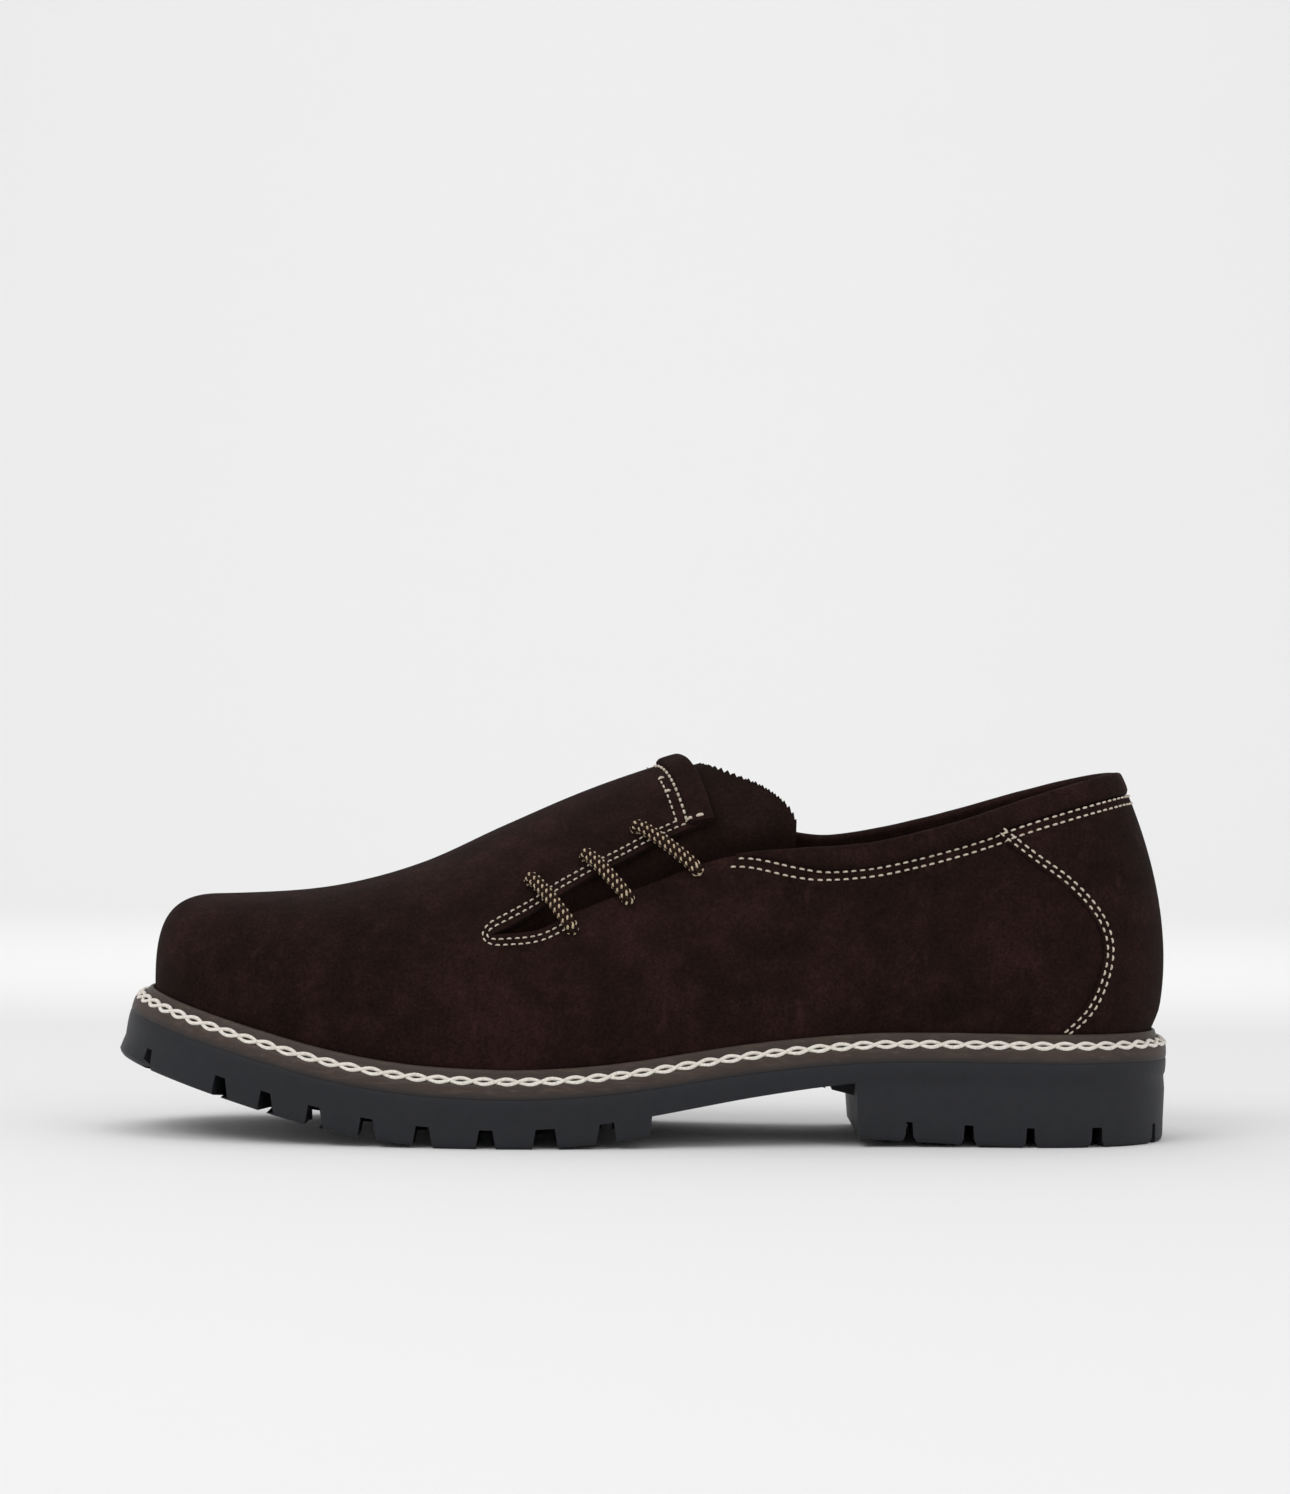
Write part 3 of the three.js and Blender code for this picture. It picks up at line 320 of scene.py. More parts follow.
def sole_ring(inset, place, stations=SOLE_STATIONS):
    """Points round the sole, out along its outer side and back along its inner one.

    inset is a number or a function of the share of length, place a height or a function of x and y.
    """
    i = np.arange(2 * stations)
    s = np.where(i <= stations, i, 2 * stations - i) / stations
    inset = inset(share_of(s)) if callable(inset) else np.full(s.shape, float(inset))
    x, y = np.where(i[:, None] <= stations, inset_point(s, -1, inset), inset_point(s, 1, inset)).T
    return place(x, y) if callable(place) else on_sole(x, y, place)


def corners_of(quad):
    """A quad's corners, less those that repeat the next one."""
    return [v for k, v in enumerate(quad) if v != quad[(k + 1) % 4]]


def ring_solid(name, rings):
    """Closed solid from rings of points, with its two ends filled across the sole."""
    count = rings[0].shape[0]
    faces = grid_faces(len(rings), count, close=True).tolist()
    for base, up in ((0, False), ((len(rings) - 1) * count, True)):
        for i in range(count // 2):
            corners = corners_of([base + v for v in (i, i + 1, count - i - 1, (count - i) % count)])
            faces.append(corners if up else corners[::-1])
    return add_mesh(name, np.concatenate(rings), faces)


TREAD_END = 0.507
BREAST_AT = 0.695
HEEL_FLAT_AT = 0.845
HEEL_WALL = 0.05
BREAST_SLOPE = 1.5
OVERLAP = 1.0
BELOW = 20.0
TOP = RUBBER_AT_HEEL + TOE_SPRING + BELOW
CHANNEL_STATIONS = 60
THROAT_EASE = 0.3
MOUTH_FLARE = 0.9
FOREFOOT_FLARE_RISE = 5.0
HEEL_FLARE_RISE = 1.8
FAN_GAIN, FAN_START = 2.5, 0.5
CROSS_GAP, CROSS_FILL = 2, 1.2
FOREFOOT_GROOVES = [
    (0.03, 1.6), (0.1, 2.6), (0.144, 2.2), (0.19, 2.6), (0.24, 2.8),
    (0.292, 3.2), (0.351, 3.2), (0.406, 4.8), (0.463, 3.4),
]
HEEL_GROOVES = [(0.746, 1.6), (0.802, 2.4), (0.86, 2.0), (0.924, 2.8), (0.985, 1.8)]
FOREFOOT_CROSSES = [0.075, 0.122, 0.167, 0.215, 0.266, 0.3215, 0.3785, 0.4345, 0.488]
HEEL_CROSSES = [0.774, 0.831, 0.892, 0.95]

# Inset and height round the lugs' lower edge, in parts of EDGE_ROUND.
LUG_EDGE = [(1, 0), (0.62, 0.12), (0.25, 0.5), (0.06, 1.1)]
past_toe, past_heel = station_x(-0.1), station_x(1.1)
tread_end, breast = station_x(TREAD_END), station_x(BREAST_AT)


def ground(lift):
    """Where the plate's underside lies, raised by lift."""
    return lambda x, y: on_sole(x, y, lift - PLATE_THICKNESS * plate_share(share_at(x)))


def tread(lift):
    """Where the forefoot's lugs end, worn level at the floor."""
    def place(x, y):
        p = ground(-LUG_DEPTH)(x, y)
        p[..., 2] = np.maximum(p[..., 2], 0) + lift
        return p

    return place


def heel_bottom(at):
    return BREAST_LIFT * np.clip((HEEL_FLAT_AT - at) / (HEEL_FLAT_AT - BREAST_AT), 0, 1)


def heel_tread(lift):
    return lambda x, y: np.stack([x, y, heel_bottom(share_at(x)) + lift], -1)


def heel_root(lift):
    return heel_tread(LUG_DEPTH + lift)


def heel_middle(x, y):
    at = share_at(x)
    return np.stack([x, y, mix(heel_bottom(at) + LUG_DEPTH, rise(at), 0.5)], -1)


def outward(piece):
    bm = bmesh.new()
    bm.from_mesh(piece.data)
    bmesh.ops.recalc_face_normals(bm, faces=bm.faces)
    bm.to_mesh(piece.data)
    bm.free()
    return piece


def prism(name, points, low=-BALL_WIDTH, high=BALL_WIDTH, axis="y"):
    """A block from a polygon, along Y for a side view of (x, z) or along Z for a plan of (x, y)."""
    base = np.array(points, float)
    area = sum(a[0] * b[1] - b[0] * a[1] for a, b in zip(points, points[1:] + points[:1]))
    if area < 0:
        base = base[::-1]
    n = len(base)
    if axis == "y":
        ends = [np.stack([base[:, 0], np.full(n, v), base[:, 1]], -1) for v in (high, low)]
    else:
        ends = [np.stack([base[:, 0], base[:, 1], np.full(n, v)], -1) for v in (low, high)]
    faces = [[k, (k + 1) % n, (k + 1) % n + n, k + n] for k in range(n)]
    faces += [list(range(n))[::-1], [n + k for k in range(n)]]
    return outward(add_mesh(name, np.concatenate(ends), faces))


def side_box(name, front, back, top):
    return prism(name, [(front, -BELOW), (back, -BELOW), (back, top), (front, top)])


def carve(target, operation, tools):
    """Unites the target with the tools, cuts it to them or takes them away; the tools go."""
    for tool in tools:
        change = target.modifiers.new(tool.name, "BOOLEAN")
        change.operation = operation
        change.solver = "MANIFOLD"
        change.object = tool
    graph = bpy.context.evaluated_depsgraph_get()
    mesh = bpy.data.meshes.new_from_object(target.evaluated_get(graph))
    target.modifiers.clear()
    old = target.data
    target.data = mesh
    bpy.data.meshes.remove(old)
    for tool in tools:
        bpy.data.objects.remove(tool)


def groove_prism(at, width, side, root, foot, flare_rise):
    """The tool for a groove: square to the edge at toe and heel, straight across elsewhere."""
    s = float(station_of(at))
    start, out = edge_point(s, side), edge_normal(s, side)
    fan = min(max(abs(float(out[0])) * FAN_GAIN - FAN_START, 0), 1)
    way = unit(mix(np.array([0.0, side]), out, fan))
    high, low = root + OVERLAP, foot - OVERLAP
    half = width / 2
    throat = half + THROAT_EASE
    mouth = throat + MOUTH_FLARE * (1 + OVERLAP / flare_rise)
    bend = low + OVERLAP + flare_rise
    section = [(-mouth, low), (mouth, low), (throat, bend), (half, high), (-half, high), (-throat, bend)]
    beside_way = np.array([way[1], -way[0]])
    ends = []
    for distance in (2 * OVERLAP, -(LUG_REACH + OVERLAP)):
        for offset, z in section:
            p = start + way * distance + beside_way * offset
            ends.append((p[0], p[1], z))
    n = len(section)
    faces = [list(range(n)), [n + k for k in range(n)][::-1]]
    faces += [[(k + 1) % n, k, n + k, n + (k + 1) % n] for k in range(n)]
    return outward(add_mesh("groove", np.array(ends), faces))


def cross_points(at):
    """Outline of a cross in plan, turned by an eighth and cut short where the sole is narrow."""
    room = float(BALL_WIDTH * plan_half(at) * round_off(at) - LUG_REACH - CROSS_GAP)
    length, arm = min(CENTRE_LUG, CROSS_FILL * room) / 2, CROSS_ARM / 2
    outline = [(arm, arm), (length, arm), (length, -arm)]
    for _ in range(3):
        outline += [(y, -x) for x, y in outline[-3:]]
    turn = math.pi / 4
    x0, y0 = float(station_x(at)), float(BALL_WIDTH * plan_centre(at))
    return [
        (x0 + x * math.cos(turn) - y * math.sin(turn), y0 + x * math.sin(turn) + y * math.cos(turn))
        for x, y in outline
    ]


def tread_block(name, foot_at, root_at, span, limits, grooves, crosses, flare_rise):
    """Lugs between the places foot_at and root_at, grooved from the edge, with crosses inside."""
    edges = [(EDGE_ROUND * inset, foot_at(EDGE_ROUND * lift)) for inset, lift in LUG_EDGE]
    edges += [(lift / 2, root_at(lift)) for lift in (0, OVERLAP)]
    rings = [sole_ring(WALL_DRAFT + inset, place) for inset, place in edges]
    full = outward(ring_solid(name, rings))
    carve(full, "INTERSECT", [prism("span", span)])
    core = add_object("core", full.data.copy())
    plan = sole_ring(LUG_REACH, lambda x, y: np.stack([x, y], -1), CHANNEL_STATIONS)
    channel = prism("channel", plan.tolist(), -BELOW, TOP, "z")
    carve(channel, "INTERSECT", [side_box("limit", *limits, TOP)])
    tools = [channel]
    for at, width in grooves:
        root, foot = (float(place(0)(station_x(at), 0.0)[2]) for place in (root_at, foot_at))
        tools += [groove_prism(at, width, side, root, foot, flare_rise) for side in (-1, 1)]
    carve(full, "DIFFERENCE", tools)
    for at in crosses:
        block = add_object("block", core.data.copy())
        carve(block, "INTERSECT", [prism("cross", cross_points(at), -BELOW, TOP, "z")])
        carve(full, "UNION", [block])
    bpy.data.objects.remove(core)
    return full


plate_edge = [(0.3 * WALL_DRAFT, -PLATE_THICKNESS / 2), (0, -PLATE_THICKNESS / 4), (0, -0.5), (0.15, -0.15)]
plate_rings = [sole_ring(WALL_DRAFT, ground(0))] + [sole_ring(*edge) for edge in plate_edge]
outsole = outward(ring_solid("outsole_rubber", plate_rings))
plate_top = float(RUBBER_AT_HEEL - PLATE_THICKNESS * plate_share(BREAST_AT))
forefoot_span = [
    (past_toe, -BELOW), (tread_end - BREAST_SLOPE, 0),
    (tread_end, TOP / 4), (tread_end, TOP), (past_toe, TOP),
]
forefoot = tread_block(
    "forefoot", tread, ground, forefoot_span, (past_toe, tread_end),
    FOREFOOT_GROOVES, FOREFOOT_CROSSES, FOREFOOT_FLARE_RISE,
)
heel_span = [
    (breast + BREAST_SLOPE, -1), (past_heel, -1), (past_heel, TOP), (breast, TOP), (breast, plate_top),
]
heel_places = (heel_root(0), heel_middle, ground(OVERLAP))
heel_insets = (WALL_DRAFT, WALL_DRAFT / 2, WALL_DRAFT)
heel_body = outward(ring_solid("heel_body", [sole_ring(*ring) for ring in zip(heel_insets, heel_places)]))
carve(heel_body, "INTERSECT", [prism("span", heel_span)])
heel = tread_block(
    "heel", heel_tread, heel_root, heel_span, (station_x(BREAST_AT + HEEL_WALL), past_heel),
    HEEL_GROOVES, HEEL_CROSSES, HEEL_FLARE_RISE,
)
RAMP_LENGTH, RAMP_WIDTH, RAMP_DROP = 0.045, 0.34, 5.5
RAMP_SLOT, RAMP_SLOT_TOP = 1.8, 0.4
ramp_front, ramp_end = station_x(BREAST_AT - RAMP_LENGTH), breast + 2 * BREAST_SLOPE
front_z, breast_z = (float(ground(0)(x, 0.0)[2]) for x in (ramp_front, breast))
ramp_outline = [
    (ramp_front, front_z), (ramp_end, breast_z - RAMP_DROP),
    (ramp_end, breast_z + OVERLAP), (ramp_front, front_z + OVERLAP),
]
ramp_sides = [float(BALL_WIDTH * (plan_centre(BREAST_AT) + k * RAMP_WIDTH / 2)) for k in (-1, 1)]
ramp = prism("ramp", ramp_outline, *ramp_sides)
slot_x = station_x(BREAST_AT - RAMP_LENGTH / 2)
slot = side_box("slot", slot_x - RAMP_SLOT / 2, slot_x + RAMP_SLOT / 2, breast_z - RAMP_SLOT_TOP)
carve(ramp, "DIFFERENCE", [slot])
for part in (forefoot, heel_body, heel, ramp):
    carve(outsole, "UNION", [part])
outsole.data.materials.clear()
dress(outsole, [rubber_material()], ["outsole"], [0] * len(outsole.data.polygons))
outsole.data.polygons.foreach_set("use_smooth", [True] * len(outsole.data.polygons))
outsole.data.set_sharp_from_angle(angle=math.radians(28))


# Midsole: a brown rubber rand between outsole and upper, with a rounded side, a sloping bed for the
# welt seam and a storm rib that stands against the suede. It is moulded and glued to the outsole.
MIDSOLE_SIDE = 3.4
STITCH_BED = 5.2
RIB_TOP = 7.5
TRAY_FLOOR = 3.6
WELT_REACH = 6.3
CLEARANCE = 0.3
reach_share = along(PROFILE, "reach")


def reach(at):
    return WELT_REACH * reach_share(at)


def rand_material():
    n = Nodes("brown_midsole")
    haze, grain = n.noise(18, 4, 0.6), n.noise(0.5, 2, 0.6)
    scuff = n.noise(2.2, 5, 0.75, (0.35, 1, 2))
    tint = n.ramp(haze, (0.3, paint(56, 44, 38)), (0.7, paint(71, 58, 51)))
    tint = n.blend(0.45, tint, n.ramp(scuff, (0.5, paint(54, 43, 37)), (0.74, paint(102, 89, 80))))
    rough = n.ramp(scuff, (0.3, 0.42), (0.7, 0.62))
    drop = n.add("ShaderNodeAttribute", attribute_name="height").outputs["Fac"]
    tint = n.blend(n.ramp(drop, (0.0, 0.9), (0.2, 0.0)), tint, paint(36, 34, 35))
    normal = n.bump(grain, 0.3, 0.08, n.bump(scuff, 0.2, 0.2))
    return n.finish(tint, rough, normal, Specular_IOR_Level=0.3)


def band(share, height):
    return sole_ring(lambda at: share * reach(at), height)


# Inset as a share of the reach, and height over the rubber, from the lower edge round to the tray.
rib_in = 1 - CLEARANCE / WELT_REACH
MIDSOLE_SECTION = [
    (0.03, -0.1), (0.0, 0.25), (-0.015, 1.2), (-0.01, 2.4), (0.0, MIDSOLE_SIDE - 0.3),
    (0.03, MIDSOLE_SIDE + 0.25), (0.09, MIDSOLE_SIDE + 0.55), (0.18, MIDSOLE_SIDE + 0.75),
    (0.3, MIDSOLE_SIDE + 0.8), (0.45, MIDSOLE_SIDE + 1.1), (0.56, STITCH_BED), (0.61, STITCH_BED + 0.7),
    (0.645, RIB_TOP - 0.7), (0.69, RIB_TOP + 0.05), (0.76, RIB_TOP + 0.35), (0.85, RIB_TOP + 0.35),
    (0.92, RIB_TOP + 0.1), (rib_in, RIB_TOP - 0.6), (rib_in, TRAY_FLOOR),
]
midsole = ring_solid("midsole_rand", [band(share, height) for share, height in MIDSOLE_SECTION])
heights = np.repeat([max(height, 0) / 10 for _, height in MIDSOLE_SECTION], 2 * SOLE_STATIONS)
midsole.data.attributes.new("height", "FLOAT", "POINT").data.foreach_set("value", heights)
dress(midsole, [rand_material()], ["midsole"])
midsole.data.set_sharp_from_angle(angle=math.radians(60))


# Welt seam: two thick waxed threads sewn right round through the upper's turned-out foot and the
# midsole's bed. They cross at each needle hole, and their strands stand proud of the bed.
rng = np.random.default_rng(7)
STITCH_RINGS = 7
STITCH_SWAY = 0.05
ARCH_RISE, ARCH_SINK = 1.1, 0.75
END_SIZE = 0.45


def thread_material(name, colour, shade, gloss=0.25):
    n = Nodes(name)
    fine = n.noise(0.5, 2, 0.6)
    tint = n.ramp(fine, (0.3, shade), (0.65, colour))
    return n.finish(tint, 0.8, n.bump(fine, 0.4, 0.15), Specular_IOR_Level=gloss)


def run_of(points, power=1):
    """Length run at each point of a line, or the sum of a power of its steps."""
    return np.concatenate([[0], np.cumsum(np.linalg.norm(np.diff(points, axis=0), axis=1) ** power)])


def at_run(at, run, values):
    """The values of a line's points, taken at other lengths along it."""
    return np.stack([np.interp(at, run, values[:, k]) for k in range(3)], -1)


class Thread:
    """Threads and plump stitches, all of one colour in one mesh."""

    def __init__(self):
        self.points, self.faces = [], []
        self.count = 0

    def tube(self, centres, out, ahead, width, height, sides=7):
        """centres, out and ahead are (stitches, rings, 3); width and height are (rings,)."""
        across = np.cross(out, ahead)
        angle = 2 * np.pi * np.arange(sides) / sides
        w = np.asarray(width)[None, :, None, None] * np.cos(angle)[None, None, :, None]
        h = np.asarray(height)[None, :, None, None] * np.sin(angle)[None, None, :, None]
        ring = centres[:, :, None, :] + across[:, :, None, :] * w + out[:, :, None, :] * h
        stitches, rings = centres.shape[:2]
        body = grid_faces(rings, sides, close=True)
        for k in range(stitches):
            base = self.count + k * rings * sides
            self.faces += (body + base).tolist()
            self.faces.append([base + i for i in range(sides)][::-1])
            self.faces.append([base + (rings - 1) * sides + i for i in range(sides)])
        self.points.append(ring.reshape(-1, 3))
        self.count += stitches * rings * sides

    def row(self, points, normals, pitch, width, height, fill, start=0.0):
        """Stitches along a line of points, each over `fill` of its pitch."""
        run = run_of(points)
        count = max(int((run[-1] - start) / pitch), 1)
        pitch = (run[-1] - start) / count
        u = np.linspace(0, 1, STITCH_RINGS)
        at = start + pitch * (np.arange(count)[:, None] + 0.5 + fill * (u[None, :] - 0.5))
        at = at + rng.uniform(-STITCH_SWAY, STITCH_SWAY, (count, 1)) * pitch
        place = at_run(at, run, points)
        out = unit(at_run(at, run, normals))
        ahead = unit(np.gradient(place, axis=1))
        arch = np.sin(np.pi * u) ** 0.6
        place = place + out * (height * (ARCH_RISE * arch - ARCH_SINK))[None, :, None]
        taper = END_SIZE + (1 - END_SIZE) * np.sin(np.pi * u) ** 0.5
        self.tube(place, out, ahead, width / 2 * taper, height / 2 * taper)

    def build(self, name, material):
        dress(add_mesh(name, np.concatenate(self.points), self.faces), [material])


WELT_PITCH = 6.3
WELT_SHARE = 0.24
WELT_HEIGHT = MIDSOLE_SIDE + 1.35
WELT_STRAND = 0.6
WELT_LEAN = 0.85
WELT_SWAY, WELT_HUMP = 1.05, 0.2
WELT_STEPS = 12
loop = sole_ring(lambda at: WELT_SHARE * reach(at), WELT_HEIGHT, 400)
loop = np.concatenate([loop, loop[:1]])
run = run_of(loop)
even = np.linspace(0, run[-1], round(run[-1] / WELT_PITCH) * WELT_STEPS + 1)
loop = at_run(even, run, loop)
ahead = unit(np.gradient(loop, axis=0))
across = unit(np.cross(ahead, np.array([0.0, 0.0, 1.0])))

# The bed leans outwards, so the seam does too.
lean = unit(np.cross(across, ahead) + WELT_LEAN * across)
across = unit(np.cross(ahead, lean))
phase = np.pi * np.arange(len(loop)) / WELT_STEPS
fat = WELT_STRAND * (1 - 0.1 * np.abs(np.sin(phase)) ** 4)
welt = Thread()
for turn in (-1, 1):
    sway = WELT_SWAY * turn * np.cos(phase)
    hump = WELT_HUMP * turn * np.sin(phase)
    strand = loop + across * sway[:, None] + lean * hump[:, None]
    way = unit(np.gradient(strand, axis=0))
    welt.tube(strand[None], lean[None], way[None], fat, fat * 0.9, 8)
welt.build("welt_stitches", thread_material("welt_thread", paint(240, 236, 228), paint(206, 198, 186)))


# Insole: a sheet of brown leather glued into the midsole's tray, its edge bevelled to lie inside
# the foot of the upper. Its solid is plain enough to be shown as it came, in the lining's leather.
def lining_material():
    n = Nodes("lining")
    grain = n.noise(1.6, 4, 0.6)
    tint = n.ramp(grain, (0.3, paint(34, 28, 26)), (0.7, paint(46, 39, 36)))
    return n.finish(tint, 0.7, n.bump(grain, 0.35, 0.2), Specular_IOR_Level=0.3)


lining = lining_material()
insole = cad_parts["insole"]
insole.data.materials.clear()
insole.data.materials.append(lining)


# Upper: vamp and quarters in one wall of dark brown suede, lined with smooth leather and pulled
# over a last. The slit is cut in its outer side; the lace holes under the cords' ends are not drawn.
# The foot of the wall is turned out under the storm rib and held by the welt seam.
WALL = 2.0
INSTEP_HEIGHT = 107.5
COLLAR_HEIGHT = 103.4
LAST = {
    "at": [0.0, 0.12, 0.2, 0.28, 0.36, 0.44, 0.52, 0.62, 0.74, 0.88, 1.0],
    "ridge": [0.628, 0.633, 0.656, 0.718, 0.82, 0.917, 0.995, 1.075, 1.2, 1.34, 1.4],
    "rise": [0.7, 0.76, 0.72, 0.66, 0.58, 0.53, 0.5, 0.47, 0.42, 0.41, 0.435],
    "shoulder": [0.83, 0.74, 0.68, 0.62, 0.56, 0.5, 0.46, 0.46, 0.5, 0.52, 0.3],
    "out": [0.004, 0.02, 0.03, 0.035, 0.035, 0.03, 0.025, 0.03, 0.05, 0.085, 0.119],
    "in": [0.004, 0.02, 0.025, 0.025, 0.02, 0.015, 0.01, 0.015, 0.045, 0.08, 0.119],
    "lie": [0.055, 0.05, 0.048, 0.046, 0.044, 0.042, 0.036, 0.026, 0.016, 0.008, 0.006],
}
TOE_FAN = 0.085
HEEL_FAN = 0.15
FAN_FADE = 0.3
OUTER_COLLAR = {
    "at": [0.353, 0.394, 0.432, 0.47, 0.51, 0.552, 0.59, 0.64, 0.68, 0.72, 0.79, 0.87, 0.935, 0.965, 1.0],
    "height": [0.566, 0.579, 0.629, 0.67, 0.713, 0.76, 0.784, 0.791, 0.795, 0.81, 0.862, 0.94, 0.992, 1, 1],
}
SLIT_UPPER = {
    "at": [0.353, 0.371, 0.397, 0.434, 0.474, 0.505, 0.533, 0.557],
    "height": [0.566, 0.59, 0.637, 0.704, 0.763, 0.811, 0.848, 0.872],
}
INNER_COLLAR = {
    "at": [0.524, 0.557, 0.59, 0.625, 0.665, 0.71, 0.787, 0.866, 0.935, 0.965, 1.0],
    "height": [1.036, 0.98, 0.9, 0.838, 0.814, 0.826, 0.876, 0.941, 0.992, 1, 1],
}
SLIT_TIP = 0.353
THROAT_AT = 0.524
TOE_PART = 0.42
JOIN_AT = 0.645
ridge_line, rise_line, shoulder_line = (along(LAST, c) for c in ("ridge", "rise", "shoulder"))
out_swell, in_swell, lie_line = (along(LAST, c) for c in ("out", "in", "lie"))
outer_edge, flap_edge, inner_edge = (along(t, "height") for t in (OUTER_COLLAR, SLIT_UPPER, INNER_COLLAR))


def ridge_share(at):
    toe = np.clip(1 - at / FAN_FADE, 0, 1) ** 2
    heel = np.clip(1 - (1 - at) / FAN_FADE, 0, 1) ** 2
    return at + TOE_FAN * toe - HEEL_FAN * heel


def on_last(s, side, t):
    """The last's outer surface at station s and t from the rib (0) to the ridge (1)."""
    s, t = np.broadcast_arrays(s, t)
    at = share_of(np.clip(s, 0, 1))
    foot = inset_point(s, side, reach(at))
    seat = on_sole(foot[..., 0], foot[..., 1], TRAY_FLOOR + CLEARANCE)
    start = on_sole(foot[..., 0], foot[..., 1], RIB_TOP + CLEARANCE)
    out = edge_normal(s, side)
    ridge_at = ridge_share(at)
    top = np.stack(
        [station_x(ridge_at), BALL_WIDTH * lie_line(ridge_at), INSTEP_HEIGHT * ridge_line(ridge_at)], -1
    )
    swell = BALL_WIDTH * (out_swell(at) if side < 0 else in_swell(at))
    up = (top[..., 2] - start[..., 2]) * rise_line(at)
    lower = start + np.stack([out[..., 0] * swell, out[..., 1] * swell, up], -1)
    upper = mix(top, start, shoulder_line(at)[..., None])
    upper[..., 2] = top[..., 2]
    u = np.clip(t, 0, 1)[..., None]
    v = 1 - u
    curve = start * v**3 + 3 * lower * v * v * u + 3 * upper * v * u * u + top * u**3
    skirt = mix(start, seat, np.clip(-t, 0, 1)[..., None])
    return np.where((t < 0)[..., None], skirt, curve)


def last_normal(s, side, t):
    step = 0.004
    s, t = np.broadcast_arrays(s, t)
    t = np.maximum(t, 0)
    low, high = np.maximum(t - step, 0), np.minimum(t + step, 1)
    before = np.where((s > step)[..., None], on_last(s - step, side, t), on_last(step, -side, t))
    after = np.where((s < 1 - step)[..., None], on_last(s + step, side, t), on_last(1 - step, -side, t))
    up = on_last(s, side, high) - on_last(s, side, low)
    return unit(np.cross(after - before, up) * -side)


def cross(s, side, height):
    """t at which each section reaches the side-view line height(share of length)."""
    s = np.asarray(s, float)
    low, high = np.zeros_like(s), np.ones_like(s)
    for _ in range(30):
        t = (low + high) / 2
        p = on_last(s, side, t)
        under = p[..., 2] < COLLAR_HEIGHT * height(share_at(p[..., 0]))
        low, high = np.where(under, t, low), np.where(under, high, t)
    return (low + high) / 2


def locate(at, side, height):
    """s and t of the surface point that a side view shows at (share of length, share of height)."""
    at, height = np.broadcast_arrays(at, height)
    s = station_of(at)
    t = np.full(s.shape, 0.5)
    for _ in range(12):
        t = cross(s, side, lambda _, h=height: h)
        miss = station_x(at) - on_last(s, side, t)[..., 0]
        s = np.clip(s + miss / (SOLE_LENGTH * (np.pi / 2) * np.sin(np.pi * s) + 1), 0, 1)
    return s, t


WELD_FINENESS = 50


def panel(name, patches, outer, inner, materials, node, sharp):
    """A piece from (side, s, t) grids of the last, closed between two offsets from its surface.

    outer and inner are numbers, or functions of (side, s, t). The materials are those of the outer
    skin, the inner skin and the cut edge.
    """
    sheets, quads, base = [], [], 0
    for side, s, t in patches:
        s, t = np.broadcast_arrays(s, t)
        lifts = [v(side, s, t) if callable(v) else np.full(s.shape, v) for v in (outer, inner)]
        columns = [on_last(s, side, t), last_normal(s, side, t), np.stack(lifts, -1)]
        sheets.append(np.concatenate(columns, -1).reshape(-1, 8))
        faces = grid_faces(*s.shape)
        quads.append((faces[:, ::-1] if side < 0 else faces) + base)
        base += s.size
    sheet, quads = np.concatenate(sheets), np.concatenate(quads)
    keys = np.round(sheet[:, :3] * WELD_FINENESS).astype(int)
    _, first, back = np.unique(keys, axis=0, return_index=True, return_inverse=True)
    sheet, quads = sheet[first], back.reshape(-1)[quads]
    skin = [corners for corners in map(corners_of, quads.tolist()) if len(set(corners)) > 2]
    edges = dict.fromkeys(edge for face in skin for edge in zip(face, face[1:] + face[:1]))
    count = len(sheet)
    rim = [[b, a, a + count, b + count] for a, b in edges if (b, a) not in edges]
    faces = skin + [[v + count for v in reversed(face)] for face in skin] + rim
    points = [sheet[:, :3] + sheet[:, 3:6] * sheet[:, k:k + 1] for k in (6, 7)]
    piece = add_mesh(name, np.concatenate(points), faces)
    kinds = [0] * len(skin) + [1] * len(skin) + [2] * len(rim)
    dress(piece, materials, [node], kinds)
    piece.data.set_sharp_from_angle(angle=math.radians(sharp))


def patch(side, lower, upper, rows):
    """Grid between two rows of (s, t) places."""
    u = np.linspace(0, 1, rows + 1)[None, :]
    return side, *(mix(a[:, None], b[:, None], u) for a, b in zip(lower, upper))


def suede_material(name, dark, mid, light):
    n = Nodes(name)
    clouds, nap, fibre = n.noise(8, 4, 0.6), n.noise(0.9, 4, 0.7), n.noise(0.35, 3, 0.7)
    base = n.ramp(n.noise(30, 4, 0.62), (0.36, dark), (0.52, mid), (0.66, light))
    colour = n.blend(0.45, base, n.ramp(clouds, (0.38, dark), (0.52, mid), (0.66, light)))
    speck = n.ramp(nap, (0.33, 0.6), (0.5, 0.98), (0.68, (1.5, 1.45, 1.42, 1)))
    colour = n.blend(0.85, colour, speck, "MULTIPLY")
    colour = n.blend(0.7, colour, n.ramp(fibre, (0.35, 0.75), (0.65, 1.3)), "MULTIPLY")
    scratch = n.product("ShaderNodeMath", n.noise(3, 2, 0.5, (1, 1, 0.3)), n.noise(24, 3, 0.6))
    mark = n.ramp(scratch, (0.36, 0.0), (0.5, 0.4))
    colour = n.blend(mark, colour, [v * 1.9 for v in light[:3]] + [1.0])
    normal = n.bump(nap, 0.6, 0.3, n.bump(fibre, 0.5, 0.15, n.bump(clouds, 0.3, 0.5)))
    return n.finish(colour, 0.95, normal, Sheen_Weight=0.015, Sheen_Roughness=0.5, Specular_IOR_Level=0.04)


